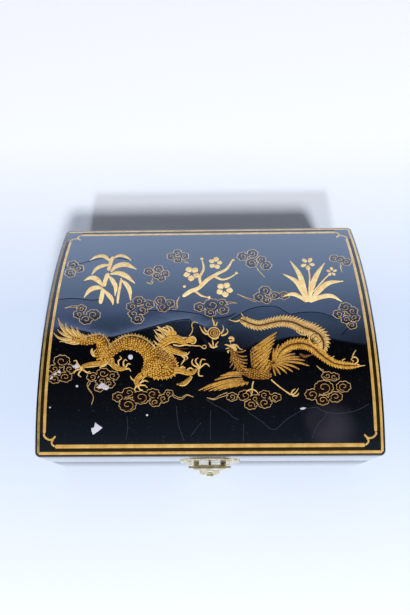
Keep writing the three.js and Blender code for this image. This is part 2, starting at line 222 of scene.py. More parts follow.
def black_lacquer():
    material, tree, shader = new_material("polished_black_lacquer", Coat_Weight=1.0, Coat_Roughness=0.04)
    place = add_node(tree, "ShaderNodeTexCoord").outputs["Object"]
    specks = add_node(
        tree,
        "ShaderNodeTexNoise",
        {"Vector": place, "Scale": DUST_PER_MM / MM, "Detail": 4.0, "Roughness": 0.7},
    )
    dust = add_node(
        tree, "ShaderNodeMapRange", {"Value": specks.outputs["Fac"], "From Min": 0.62, "From Max": 0.78}
    )
    colour = add_node(
        tree,
        "ShaderNodeMix",
        {0: dust.outputs["Result"], 6: linear(LACQUER_BLACK), 7: linear(LACQUER_DUST)},
        data_type="RGBA",
    )
    # Painted reflection: the colour turns brownish grey round each middle.
    for middle, reflection_reach, reflection_colour in PAINTED_REFLECTIONS:
        apart = add_node(
            tree, "ShaderNodeVectorMath", {0: place, 1: Vector(middle) * MM}, operation="DISTANCE"
        )
        reflection_share = add_node(
            tree,
            "ShaderNodeMapRange",
            {"Value": apart.outputs["Value"], "From Min": reflection_reach * MM, "From Max": 0.2 * reflection_reach * MM},
            interpolation_type="SMOOTHSTEP",
        )
        colour = add_node(
            tree,
            "ShaderNodeMix",
            {0: reflection_share.outputs["Result"], 6: colour.outputs[2], 7: linear(reflection_colour)},
            data_type="RGBA",
        )
    tree.links.new(colour.outputs[2], shader.inputs["Base Color"])
    rubbed = add_node(
        tree,
        "ShaderNodeTexNoise",
        {"Vector": place, "Scale": RUBBED_PER_MM / MM, "Detail": 6.0, "Roughness": 0.62},
    )
    gloss = add_node(
        tree,
        "ShaderNodeMapRange",
        {"Value": rubbed.outputs["Fac"], "From Min": 0.42, "From Max": 0.75, "To Min": 0.06, "To Max": 0.15},
    )
    tree.links.new(gloss.outputs["Result"], shader.inputs["Roughness"])
    waves = add_node(tree, "ShaderNodeTexNoise", {"Vector": place, "Scale": WAVES_PER_MM / MM, "Detail": 2.0})
    wavy = add_node(
        tree, "ShaderNodeBump", {"Height": waves.outputs["Fac"], "Distance": WAVE_DEPTH, "Strength": 0.35}
    )
    scratches = add_node(
        tree, "ShaderNodeTexNoise", {"Vector": place, "Scale": SCRATCHES_PER_MM / MM, "Detail": 3.0}
    )
    fine = add_node(
        tree,
        "ShaderNodeBump",
        {
            "Height": scratches.outputs["Fac"],
            "Distance": SCRATCH_DEPTH,
            "Strength": 0.3,
            "Normal": wavy.outputs["Normal"],
        },
    )
    tree.links.new(fine.outputs["Normal"], shader.inputs["Normal"])
    return material


CORNER_RADIUS = 4 * MM
ARRIS = 1.3 * MM
SEAM_ARRIS = 0.7 * MM
WALL = 9 * MM
lacquer = black_lacquer()
lid_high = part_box("lid_top_panel")[1]
half_width, half_depth = lid_high.x, lid_high.y
inner_width, inner_depth = half_width - WALL, half_depth - WALL


def round_off(edge, radius):
    """How far a rounded arris drops at a distance from the edge."""
    near = np.clip(edge, 0, radius)
    return radius - np.sqrt(radius**2 - (radius - near) ** 2)


def edge_rows():
    """Distances from an edge, close together over the arris and the corner."""
    fine = [ARRIS * (1 - math.cos(math.radians(a))) for a in range(0, 91, 15)]
    fine += [CORNER_RADIUS * (1 - math.cos(math.radians(a))) for a in range(50, 91, 10)]
    return sorted(fine)


def shell_mesh(name, cap, cavity, rim, side, step):
    """A lacquered shell: a cap, four walls with a softened arris, and a square hollow that opens at the rim.

    cap(x, y) and cavity(y) are heights, and side is 1 where the cap is above the rim and -1 below."""
    fine = edge_rows()
    inside = half_depth - fine[-1]
    middle = list(np.linspace(-inside, inside, max(3, round(2 * inside / step) + 1)))
    rows = [f - half_depth for f in fine[:-1]] + middle + [half_depth - f for f in reversed(fine[:-1])]
    arris_steps = [f for f in fine if f <= ARRIS]
    columns = max(3, round(2 * half_width / step) + 1)
    bm = bmesh.new()
    known = {}

    def vertex(x, y, z):
        key = (round(x, 7), round(y, 7), round(z, 7))
        if key not in known:
            known[key] = bm.verts.new((x, y, z))
        return known[key]

    def face(*corners):
        distinct = list(dict.fromkeys(corners))
        if len(distinct) > 2 and bm.faces.get(distinct) is None:
            bm.faces.new(distinct)

    grid = []
    for y in rows:
        edge = half_depth - abs(y)
        bulge = math.sqrt(max(0.0, CORNER_RADIUS**2 - max(0.0, CORNER_RADIUS - edge) ** 2))
        reach = half_width - CORNER_RADIUS + bulge
        across = list(np.linspace(ARRIS - reach, reach - ARRIS, columns))
        xs = [a - reach for a in arris_steps[:-1]] + across + [reach - a for a in reversed(arris_steps[:-1])]
        xs = np.array(xs)
        to_side, to_end = half_width - np.abs(xs), edge
        in_corner = (to_side < CORNER_RADIUS) & (to_end < CORNER_RADIUS)
        corner = CORNER_RADIUS - np.hypot(CORNER_RADIUS - to_side, CORNER_RADIUS - to_end)
        distance = np.where(in_corner, corner, np.minimum(to_side, to_end))
        heights = cap(xs, np.full_like(xs, y)) - side * round_off(distance, ARRIS)
        grid.append([(x, y, z) for x, z in zip(xs, heights)])
    points = [[vertex(*p) for p in row] for row in grid]
    for low, high in zip(points, points[1:]):
        for i in range(len(low) - 1):
            face(low[i], low[i + 1], high[i + 1], high[i])

    loop = grid[0] + [row[-1] for row in grid[1:-1]] + grid[-1][::-1] + [row[0] for row in grid[-2:0:-1]]

    def inset(point, depth):
        core_x = np.clip(point[0], CORNER_RADIUS - half_width, half_width - CORNER_RADIUS)
        core_y = np.clip(point[1], CORNER_RADIUS - half_depth, half_depth - CORNER_RADIUS)
        share = 1 - depth / CORNER_RADIUS
        return core_x + (point[0] - core_x) * share, core_y + (point[1] - core_y) * share

    rings = [loop]
    for a in range(0, 91, 30):
        depth = SEAM_ARRIS * (1 - math.cos(math.radians(a)))
        level = rim + side * SEAM_ARRIS * (1 - math.sin(math.radians(a)))
        rings.append([(*inset(p, depth), level) for p in loop])
    hollow = [
        (np.clip(p[0], -inner_width, inner_width), np.clip(p[1], -inner_depth, inner_depth)) for p in loop
    ]
    rings.append([(x, y, rim) for x, y in hollow])
    rings.append([(x, y, cavity(y)) for x, y in hollow])
    for outer, inner in zip(rings, rings[1:]):
        upper = [vertex(*p) for p in outer]
        lower = [vertex(*p) for p in inner]
        for i in range(len(loop)):
            j = (i + 1) % len(loop)
            face(upper[i], upper[j], lower[j], lower[i])
    ends = {}
    for x, y, z in rings[-1]:
        ends.setdefault(round(y, 7), []).append((x, y, z))
    levels = [[vertex(*p) for p in sorted(set(ends[key]))] for key in sorted(ends)]
    for low, high in zip(levels, levels[1:]):
        face(*low, *reversed(high))
    bmesh.ops.recalc_face_normals(bm, faces=bm.faces)
    mesh = bpy.data.meshes.new(name)
    bm.to_mesh(mesh)
    bm.free()
    mesh.shade_smooth()
    mesh.set_sharp_from_angle(angle=math.radians(40))
    return mesh


def add_piece(mesh, material, body, replaced=()):
    """An object for a finished mesh, riding on its CAD body."""
    piece = bpy.data.objects.new(mesh.name, mesh)
    scene.collection.objects.link(piece)
    mesh.materials.clear()
    mesh.materials.append(material)
    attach(piece, body)
    if replaced:
        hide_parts(*replaced)
    return piece


# Case
# Five boards glued into a shallow tray, lacquered inside and out as one skin. The bottom is flat.
CASE_STEP = 20 * MM
case_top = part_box("base_front_board")[1].z
bottom_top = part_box("bottom_board")[1].z
case_mesh = shell_mesh(
    "case_boards", lambda x, y: np.zeros_like(x), lambda y: bottom_top, case_top, -1, CASE_STEP
)
case_boards = [f"base_{side}_board" for side in ("front", "back", "left", "right")] + ["bottom_board"]
add_piece(case_mesh, lacquer, "case", case_boards)


# Lid
# Two straight rails, two arched ends and a bent top panel under one skin of lacquer. The lacquer has split
# along the lines below, and its edges have curled up a little on both sides of each split.
VAULT_RISE = 22.5 * MM
LID_STEP = 1.0 * MM
vault_radius = (half_depth**2 + VAULT_RISE**2) / (2 * VAULT_RISE)
vault_centre = lid_high.z - vault_radius
TOP_THICKNESS = 6 * MM
lid_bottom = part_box("lid_front_rail")[0].z


def on_lid(u, v):
    """The place on the vault that shows at a pixel: x across, and the distance along the arc from its top."""
    ray_toward = view_right * (u - PHOTO_WIDTH / 2) / FOCAL_PIXELS
    ray_toward = ray_toward + view_up * (PHOTO_HEIGHT / 2 - v) / FOCAL_PIXELS + view_forward
    start = CAMERA_PLACE - Vector((0, 0, vault_centre))
    a = ray_toward.y**2 + ray_toward.z**2
    b = start.y * ray_toward.y + start.z * ray_toward.z
    c = start.y**2 + start.z**2 - vault_radius**2
    reach = (-b - math.sqrt(b * b - a * c)) / a
    hit = start + ray_toward * reach
    return hit.x, vault_radius * math.atan2(hit.y, hit.z)


NEAR, FAR = 4.2, 8.0
# Each split: how high its edges stand, how far the curl reaches behind and before it, both in millimetres,
# and its line in photograph pixels.
OPEN_SPLITS = [
    (0.12, NEAR, NEAR, [(59, 299.5), (70, 298.6), (80, 299), (92, 300.2), (101, 299.3)]),
    (0.10, NEAR, NEAR, [(62, 268), (83, 263), (96, 259.4), (110, 257.4), (133, 260.5)]),
    (0.80, 3.2, 12.0, [(62, 327), (84, 331.6), (104, 336.4), (112, 337.4), (124, 334.4), (150, 327.6),
                       (172, 321.6), (188, 319.4), (192, 322.3), (204.6, 327)]),
    (0.40, FAR, NEAR, [(197, 324), (201, 334), (207, 348.3), (216, 350.6), (225, 351.6), (240, 352),
                       (250, 347.6), (257.4, 342.7), (275, 341), (291, 337.3), (312, 337), (331, 339.1),
                       (340.6, 341.1), (354.4, 343.5), (368, 345.6)]),
    (0.12, NEAR, NEAR, [(142, 311), (168, 310.5), (196, 313.5), (212, 318), (226, 317), (236, 313)]),
    (0.14, NEAR, NEAR, [(229, 321), (243, 312.5), (252, 308.4), (262, 306.6), (276, 306.8), (290, 314.5)]),
    (0.12, NEAR, NEAR, [(290, 314.5), (304, 312.3), (320, 312.8), (334, 317.5)]),
    (0.10, NEAR, NEAR, [(341.4, 335.4), (345, 331.4), (348.6, 328)]),
]
# Closed splits: further down, each gets a thin pale grey line, a painted highlight on its raised edges.
PALE_LINED_SPLITS = [
    (0.14, NEAR, NEAR, [(247.4, 411.4), (261, 421), (273.9, 429.4), (288, 418.4), (303.7, 409.6),
                        (316.4, 407)]),
    (0.12, NEAR, NEAR, [(316.4, 407), (326.7, 412.2), (340, 413.2), (355, 410.8), (369, 404)]),
    (0.05, NEAR, NEAR, [(206, 399), (213.6, 404.2), (226, 411), (232.6, 416.8), (238.3, 419.6)]),
    (0.10, NEAR, NEAR, [(326.7, 412.2), (324.6, 417.6), (317.5, 425), (311.8, 438.6)]),
    (0.05, NEAR, NEAR, [(127, 416), (127.6, 428), (126, 440)]),
    (0.05, NEAR, NEAR, [(176.2, 406), (178.4, 424), (184, 440.8)]),
    (0.05, NEAR, NEAR, [(210.8, 409.6), (210.2, 424), (210.6, 440)]),
    (0.05, NEAR, NEAR, [(243.5, 423.7), (243.6, 432), (243.4, 441)]),
    (0.04, NEAR, NEAR, [(201, 422.6), (196, 429), (190.4, 436.6)]),
]
split_segments = []
for split_height, behind, before, split_points in OPEN_SPLITS + PALE_LINED_SPLITS:
    line = np.array([on_lid(u, v) for u, v in split_points])
    split_segments += [(split_height * MM, behind * MM, before * MM, *pair) for pair in zip(line, line[1:])]


def curl(x, s):
    """How far the lacquer stands up near a split, which can reach further before it than behind it."""
    risen = np.zeros(np.shape(x))
    for split_height, behind, before, start, end in split_segments:
        run = end - start
        share = ((x - start[0]) * run[0] + (s - start[1]) * run[1]) / (run @ run)
        share = np.clip(share, 0, 1)
        away = s - start[1] - share * run[1]
        gap = np.hypot(x - start[0] - share * run[0], away)
        reach = behind + (before - behind) * (1 - away / np.maximum(gap, 1e-9)) / 2
        risen = np.maximum(risen, split_height * np.exp(-gap / reach))
    return risen


def vault_height(y, thickness=0.0):
    """How high the vault is above the table, at its outside or a thickness below it."""
    return vault_centre + np.sqrt((vault_radius - thickness) ** 2 - np.asarray(y) ** 2)


lid_mesh = shell_mesh(
    "lid_boards",
    lambda x, y: vault_height(y) + curl(x, vault_radius * np.arcsin(y / vault_radius)),
    lambda y: float(vault_height(y, TOP_THICKNESS)),
    lid_bottom,
    1,
    LID_STEP,
)
lid_boards = ["lid_front_rail", "lid_back_rail", "lid_left_end", "lid_right_end", "lid_top_panel"]
add_piece(lid_mesh, lacquer, "lid", lid_boards)


# Gold painting
# Every painted line is a thin raised ribbon of gold powder in lacquer, laid with a brush on the finished
# black. It lies on the vault, sunk a little at its edges, and is brightest where it is thickest.
RIBBON_PROFILE = [(-1.0, -0.35), (-0.6, 0.7), (0.0, 1.0), (0.6, 0.7), (1.0, -0.35)]
RIBBON_STEP = 0.45 * MM
PAINT_HEIGHT = 0.10 * MM
POWDER_PER_MM, POWDER_GRAIN = 2.6, 0.04 * MM


def gold_powder(name, bright, dark, patch, share, roughness=0.5, metallic=0.0, coat=0.8):
    """Gold in lacquer: bright where it lies thick and dark where it is worn, in patches of a given size."""
    material, tree, shader = new_material(
        name,
        Metallic=metallic,
        Roughness=roughness,
        Specular_IOR_Level=0.2,
        Coat_Weight=coat,
        Coat_Roughness=0.06,
    )
    place = add_node(tree, "ShaderNodeTexCoord").outputs["Object"]
    worn = add_node(
        tree, "ShaderNodeTexNoise", {"Vector": place, "Scale": 1 / patch, "Detail": 5.0, "Roughness": 0.7}
    )
    amount = add_node(
        tree,
        "ShaderNodeMapRange",
        {"Value": worn.outputs["Fac"], "From Min": 0.5 - share, "From Max": 0.5 + share},
    )
    colour = add_node(
        tree,
        "ShaderNodeMix",
        {0: amount.outputs["Result"], 6: linear(dark), 7: linear(bright)},
        data_type="RGBA",
    )
    tree.links.new(colour.outputs[2], shader.inputs["Base Color"])
    grain = add_node(
        tree, "ShaderNodeTexNoise", {"Vector": place, "Scale": POWDER_PER_MM / MM, "Detail": 2.0}
    )
    bump = add_node(
        tree, "ShaderNodeBump", {"Height": grain.outputs["Fac"], "Distance": POWDER_GRAIN, "Strength": 0.5}
    )
    tree.links.new(bump.outputs["Normal"], shader.inputs["Normal"])
    return material


def smooth_line(points, step):
    """A Catmull-Rom curve through the points, with any further columns carried along, such as the width."""
    points = np.asarray(points, float)
    if len(points) == 2:
        points = np.array([points[0], (points[0] + points[1]) / 2, points[1]])
    padded = np.vstack([2 * points[0] - points[1], points, 2 * points[-1] - points[-2]])
    result = []
    for a, b, c, d in zip(padded, padded[1:], padded[2:], padded[3:]):
        count = max(2, math.ceil(np.hypot(*(c - b)[:2]) / step))
        for t in np.arange(count) / count:
            curve = 2 * b + (c - a) * t + (2 * a - 5 * b + 4 * c - d) * t**2 + (3 * b - a - 3 * c + d) * t**3
            result.append(curve / 2)
    result.append(points[-1])
    return np.array(result)


def round_ends(line):
    """Narrows the width column to a round tip at both ends."""
    steps = np.hypot(*np.diff(line[:, :2], axis=0).T)
    along = np.concatenate([[0], np.cumsum(steps)])
    half = np.maximum(line[:, 2] / 2, 1e-6)
    nearest = np.minimum(along, along[-1] - along)
    share = np.clip(nearest / half, 0, 1)
    rounded = line.copy()
    rounded[:, 2] = line[:, 2] * np.sqrt(np.clip(1 - (1 - share) ** 2, 0.02, 1))
    return rounded


def lid_points(x, s, lift):
    """Points in space for places on the vault, lifted off it."""
    angle = np.asarray(s) / vault_radius
    radius = vault_radius + curl(np.asarray(x), np.asarray(s)) + lift
    return np.stack([x, radius * np.sin(angle), vault_centre + radius * np.cos(angle)], axis=-1)


def ribbon_mesh(name, lines, height):
    """One mesh of painted ribbons. Each line is an array of x, s and width on the vault."""
    points, faces, start = [], [], 0
    for line in lines:
        line = round_ends(line)
        along = np.gradient(line[:, :2], axis=0)
        along /= np.maximum(np.hypot(*along.T), 1e-9)[:, None]
        normal = np.stack([-along[:, 1], along[:, 0]], axis=1)
        for side, rise in RIBBON_PROFILE:
            place = line[:, :2] + normal * (side * line[:, 2:3] / 2)
            points.append(lid_points(place[:, 0], place[:, 1], rise * height))
        count = len(line)
        for band in range(len(RIBBON_PROFILE) - 1):
            low, high = start + band * count, start + (band + 1) * count
            faces += [(low + i + 1, low + i, high + i, high + i + 1) for i in range(count - 1)]
        start += count * len(RIBBON_PROFILE)
    mesh = bpy.data.meshes.new(name)
    mesh.from_pydata(np.vstack(points).tolist(), [], faces)
    mesh.shade_smooth()
    return mesh


def paint(name, lines, height, material):
    """A piece made of painted ribbons on the lid."""
    add_piece(ribbon_mesh(name, lines, height), material, "lid")


# Border lines
# Two plain gold lines follow the edge of the lid. The inner one breaks at each corner into two small
# hooked curls. The lines at front and back are broader than those at the sides. The outer line on the left
# side is a darker, duller gold: painted shade.
SIDE_MARGIN, SIDE_OUTER, SIDE_GAP, SIDE_INNER = 1.75 * MM, 2.3 * MM, 2.25 * MM, 2.7 * MM
END_MARGIN, END_OUTER, END_GAP, END_INNER = 1.7 * MM, 2.6 * MM, 2.3 * MM, 3.5 * MM
CURL_A = [(0, 10.5), (-0.2, 8.8), (1.4, 6.8), (4.1, 5.5), (6.8, 5.9), (9.2, 8.4)]
CURL_B = [(8.6, 0), (6.6, 1.7), (6.0, 3.8), (7.4, 5.6)]
CURL_LINE = 1.7 * MM
BAND_HEIGHT = 0.02 * MM
edge_s = vault_radius * math.asin(half_depth / vault_radius)
border_gold = gold_powder("gold_border_line", "#EFC472", "#C09040", 9 * MM, 0.22, 0.4, 0.35)
outer_x = half_width - SIDE_MARGIN - SIDE_OUTER / 2
outer_s = edge_s - END_MARGIN - END_OUTER / 2
inner_x = outer_x - SIDE_OUTER / 2 - SIDE_GAP - SIDE_INNER / 2
inner_s = outer_s - END_OUTER / 2 - END_GAP - END_INNER / 2
border_lines = []
# The left outer line is drawn apart in a darker gold, as painted shade.
shaded_left_line = [(-outer_x, -outer_s, SIDE_OUTER), (-outer_x, outer_s, SIDE_OUTER)]
border_lines.append([(outer_x, -outer_s, SIDE_OUTER), (outer_x, outer_s, SIDE_OUTER)])
for sign in (-1, 1):
    border_lines.append([(-outer_x, sign * outer_s, END_OUTER), (outer_x, sign * outer_s, END_OUTER)])
    start_s, start_x = inner_s - CURL_A[0][1] * MM, inner_x - CURL_B[0][0] * MM
    border_lines.append([(sign * inner_x, -start_s, SIDE_INNER), (sign * inner_x, start_s, SIDE_INNER)])
    border_lines.append([(-start_x, sign * inner_s, END_INNER), (start_x, sign * inner_s, END_INNER)])
    for other in (-1, 1):
        for curl_points in (CURL_A, CURL_B):
            hooked = [(inner_x - dx * MM, inner_s - ds * MM) for dx, ds in curl_points]
            border_lines.append([(sign * x, other * s, CURL_LINE) for x, s in hooked])


def ruled(lines):
    """Border lines, whose points are already places on the vault, as smooth paths."""
    return [smooth_line(line, RIBBON_STEP) for line in lines]


paint("gold_border_lines", ruled(border_lines), PAINT_HEIGHT, border_gold)
# Painted shade: a darker, duller gold for the left outer line.
left_line_shaded_gold = gold_powder("rubbed_gold_border_line", "#A08A54", "#6A5428", 9 * MM, 0.22)
paint("rubbed_border_line", ruled([shaded_left_line]), PAINT_HEIGHT, left_line_shaded_gold)
band_x, band_s = (outer_x + inner_x) / 2, (outer_s + inner_s) / 2
side_band, end_band = outer_x - inner_x, outer_s - inner_s
band_lines = []
for sign in (-1, 1):
    band_lines.append([(sign * band_x, -start_s, side_band), (sign * band_x, start_s, side_band)])
    band_lines.append([(-start_x, sign * band_s, end_band), (start_x, sign * band_s, end_band)])
brown_band, _, _ = new_material(
    "brown_band_between_lines",
    Base_Color=linear("#241804"),
    Roughness=0.5,
    Specular_IOR_Level=0.0,
    Coat_Weight=1.0,
)
paint("brown_border_bands", ruled(band_lines), BAND_HEIGHT, brown_band)


# Scroll clouds
# Small clouds drawn with a fine brush: each is a cluster of spiral curls inside a scalloped outline, with a
# wisp trailing from it. A curl is its middle and its radius in photograph pixels.
CLOUDS = [
    ([(72.9, 264.8, 4.4), (70.2, 273.2, 4.4), (79.2, 268.6, 4.0)], []),
    ([(148.6, 271.6, 4.0), (158.4, 269, 4.0), (165.2, 273.6, 3.4), (156.6, 275.6, 3.2),
      (161.2, 278.2, 3.2)], [(153.2, 279.6), (151, 283.6), (146, 282.2)]),
    ([(171.2, 256.4, 3.6), (177.6, 253, 3.6), (184.4, 256, 3.6), (178, 259.6, 3.4)], [(183, 261),
      (189, 263.4)]),
    ([(81.3, 308.5, 4.0), (78.6, 314.4, 4.4), (93.4, 314.8, 6.0), (85.9, 319.4, 5.6)],
     [(79, 307.4), (73, 306.4), (64.5, 308.2)]),
    ([(138.8, 301, 5.0), (132, 306.6, 4.8), (133.6, 313.8, 4.6), (142, 310, 5.0), (137.4, 319, 5.4),
      (148.6, 304.4, 4.8), (160.4, 300.6, 4.6), (163.2, 307, 5.4), (169.6, 303.4, 4.2)],
     [(172, 308.4), (177, 307.4), (177, 302), (179.6, 296.4)]),
    ([(212, 305, 7.2), (199.6, 307, 4.8), (210.4, 312.6, 4.6), (223, 309.8, 4.8), (221.9, 302.8, 4.0)],
     [(225.8, 303.6), (231, 302.6), (237.4, 303.2)]),
    ([(252.4, 253.6, 4.6), (242.6, 256.4, 4.6), (251.6, 263, 5.0), (266.1, 265.6, 4.6),
      (261.4, 259.6, 3.8)], [(256.6, 268), (259.4, 271.4), (264.8, 277.4)]),
    ([(264.9, 290.6, 5.0), (259.6, 297, 5.0), (274.8, 295.6, 4.2), (284, 295.6, 4.4), (266.6, 300.4, 3.4)],
     [(256, 301), (248, 298.6), (236.6, 293.8)]),
    ([(334, 258.2, 3.6), (340.4, 259.4, 3.6), (346.8, 262, 3.8)], [(341, 264), (340.6, 268),
      (342.2, 272.6)]),
    ([(345.3, 307.2, 5.2), (352.4, 311, 4.6), (338.7, 314, 4.8), (354.6, 317.6, 4.4), (346.2, 319.6, 4.4),
      (352, 325.4, 4.0)], []),
    ([(61.8, 361.2, 7.0), (54.4, 368.8, 4.6), (69.6, 369, 5.0), (65.4, 377, 5.6), (54.6, 378.8, 5.0)], []),
    ([(103.4, 373.4, 5.8), (113, 375.8, 5.0), (92.4, 377, 4.8), (101.6, 381, 5.0), (109.2, 383.8, 4.8),
      (99.2, 388, 4.0)], [(90, 381), (87.6, 387), (92, 393.4), (93.4, 398), (91.4, 405)]),
    ([(118.8, 397, 5.4), (129, 392.6, 5.6), (141, 397.4, 7.6), (127.6, 405, 7.4), (152.8, 394, 6.0),
      (163.4, 398.6, 4.6), (155.2, 402.2, 4.8), (168.8, 393.4, 3.8)],
     [(172.4, 395.4), (180.6, 398.6), (187, 395), (193.6, 397.2)]),
    ([(245, 395.6, 6.0), (232, 396.8, 4.6), (255.6, 398.6, 4.4), (264.6, 395, 5.0), (275.4, 397.4, 4.8),
      (264.8, 402.8, 6.0), (250.8, 404.6, 5.4)], [(228, 393.6), (220, 396.4), (214, 399.2),
      (206.6, 397.6)]),
    ([(327.2, 375.8, 4.6), (334, 376.8, 4.4), (323.8, 387.6, 8.4), (343.6, 386.6, 6.2), (312.2, 394.4, 6.2),
      (335.4, 396.8, 6.0), (322.8, 400, 5.6)], [(324.4, 371.6), (320.6, 369.4), (316.4, 365.6)]),
]
CLOUD_LINE = 0.7
CLOUD_BREADTH, FLATNESS = 1.06, 0.8
SPIRAL_TURNS, SPIRAL_START, SPIRAL_POINTS = 1.35, 0.22, 26
OUTLINE_GAP, OUTLINE_OVERLAP, OUTLINE_POINTS = 1.15, 0.3, 97
SCALLOP_PITCH, SCALLOP_RISE = 4.8, 0.9
WISP_SPREAD = 1.3
PATCH_STAGGER, PATCH_SINK = 0.004 * MM, 0.02 * MM
WASH_STEPS, WASH_HEIGHT = 20, 0.012 * MM
cloud_gold = gold_powder("gold_cloud_line", "#ECC076", "#B4843E", 5 * MM, 0.2, 0.4, 0.5)


def painted(points, width=1.0, step=RIBBON_STEP):
    """A smooth line on the lid from photograph points. Each may carry its own width, in photograph pixels."""
    line = []
    for point in points:
        own = point[2] if len(point) > 2 else width
        pixel = on_lid(point[0] + 0.5, point[1])[0] - on_lid(point[0] - 0.5, point[1])[0]
        line.append((*on_lid(point[0], point[1]), own * pixel))
    return smooth_line(line, step)


def cloud_lines(curls, trail):
    """The spirals of a cloud, the outline round their union, and the wisp."""
    centre = np.mean([c[:2] for c in curls], axis=0)
    lines = []
    for number, (u, v, radius) in enumerate(curls):
        spin = -1 if u < centre[0] else 1
        outward = math.atan2(v - centre[1], u - centre[0])
        inner = radius - OUTLINE_GAP
        shares = np.linspace(SPIRAL_START, 1, SPIRAL_POINTS)
        angles = outward + math.pi / 2 * spin + spin * (1 - shares) * SPIRAL_TURNS * 2 * math.pi
        spiral = zip(inner * shares, angles)
        lines.append([(u + r * math.cos(a), v + FLATNESS * r * math.sin(a)) for r, a in spiral])
        stretch = []
        scallops = round(2 * math.pi * radius / SCALLOP_PITCH)
        for a in np.linspace(0, 2 * math.pi, OUTLINE_POINTS) + outward + math.pi:
            reach = radius + SCALLOP_RISE * abs(math.sin(scallops * (a - outward) / 2))
            point = (u + CLOUD_BREADTH * reach * math.cos(a), v + FLATNESS * reach * math.sin(a))
            covered = any(
                math.hypot((point[0] - cu) / CLOUD_BREADTH, (point[1] - cv) / FLATNESS) < cr + OUTLINE_OVERLAP
                for other, (cu, cv, cr) in enumerate(curls)
                if other != number
            )
            if covered:
                if len(stretch) > 3:
                    lines.append(stretch)
                stretch = []
            else:
                stretch.append(point)
        if len(stretch) > 3:
            lines.append(stretch)
    if trail:
        for shift in (-WISP_SPREAD, WISP_SPREAD):
            shrink = np.linspace(1, 0, len(trail))
            lines.append([(u + 0.4 * shift * s, v + shift * s) for (u, v), s in zip(trail, shrink)])
    return lines


def patch_mesh(name, outlines, lift, crown):
    """Flat painted patches, each at its own height. An outline is photograph points round its middle."""
    points, faces = [], []
    for number, outline in enumerate(outlines):
        place = np.array([on_lid(u, v) for u, v in outline])
        middle = place.mean(axis=0)
        start, count = len(points), len(place)
        own_lift = lift + PATCH_STAGGER * (number % 9)
        for share, rise in ((1.0, -PATCH_SINK), (0.94, own_lift), (0.5, own_lift + crown)):
            ring = middle + (place - middle) * share
            points += lid_points(ring[:, 0], ring[:, 1], rise).tolist()
        points += lid_points(middle[:1], middle[1:], own_lift + crown).tolist()
        for i in range(count):
            j = (i + 1) % count
            for ring_start in (start, start + count):
                faces.append((ring_start + i, ring_start + j, ring_start + count + j, ring_start + count + i))
            faces.append((start + 2 * count + i, start + 2 * count + j, start + 3 * count))
    mesh = bpy.data.meshes.new(name)
    mesh.from_pydata(points, [], faces)
    bm = bmesh.new()
    bm.from_mesh(mesh)
    upward = [f for f in bm.faces if f.normal.z < 0]
    bmesh.ops.reverse_faces(bm, faces=upward)
    bm.to_mesh(mesh)
    bm.free()
    mesh.shade_smooth()
    return mesh


wash, _, _ = new_material("thin_brown_wash", Base_Color=linear("#150803"), Roughness=0.12, Coat_Weight=0.3)
wash_outlines = []
for curls, _ in CLOUDS:
    for u, v, radius in curls:
        around = np.arange(WASH_STEPS) * 2 * math.pi / WASH_STEPS
        reached = [(radius * math.cos(a), FLATNESS * radius * math.sin(a)) for a in around]
        wash_outlines.append([(u + across, v + down) for across, down in reached])
add_piece(patch_mesh("cloud_wash", wash_outlines, WASH_HEIGHT, 0.0), wash, "lid")
cloud_ribbons = [painted(line, CLOUD_LINE) for curls, trail in CLOUDS for line in cloud_lines(curls, trail)]
paint("gold_scroll_clouds", cloud_ribbons, PAINT_HEIGHT, cloud_gold)


# Dragon
# A scaled dragon with a flame tail, climbing towards a pearl. Its body is a broad low relief of brown gold,
# and every scale, tuft, claw and hair is a touch of brighter gold on top. Places are photograph pixels.
DRAGON_BODY = [
    [(71, 337.6, 5), (77, 339.4, 7.5), (84, 341.6, 8.5), (91, 340.8, 9.5), (97, 339.4, 9.5),
     (101.4, 342, 11), (102, 349, 13.5), (101.8, 356, 14), (103, 361, 10)],
    [(101, 361, 9), (104, 357, 13), (110, 351.6, 14), (117, 346.6, 14), (124, 344, 14.5),
     (131, 343.6, 15), (139, 345.4, 15), (146, 350, 15.5), (150.4, 357, 16), (149.6, 365, 15),
     (145.6, 371.6, 11), (141.6, 375.6, 7)],
    [(143, 373, 8), (151, 372.6, 11), (161, 371.6, 12.5), (169, 369.6, 13.5), (171, 363, 13),
     (166, 357, 13), (160, 352, 12), (157, 346.4, 10.5)],
    [(153, 366, 9), (160, 364, 12), (163, 358.6, 11)],
]
DRAGON_LIMBS = [
    [(107, 360.4, 6), (101, 363.4, 6), (94, 364, 5.4), (87, 365, 4.6), (81.6, 367.4, 5)],
    [(112, 357.6, 5), (112.2, 363.6, 6), (116.4, 367.8, 5.4), (122, 369, 4.6), (126.4, 367, 4)],
    [(144, 373.6, 7), (138.6, 377.4, 6.4), (136.4, 381.6, 5.4), (138.6, 386, 5)],
    [(174, 370, 8), (180, 370.4, 7), (186.4, 372.4, 6), (192, 373, 4.6), (197, 369, 3.4)],
    [(176.6, 384.2, 1.4), (183, 383.6, 4), (188, 380.4, 4.4), (191.6, 376, 2.4)],
]
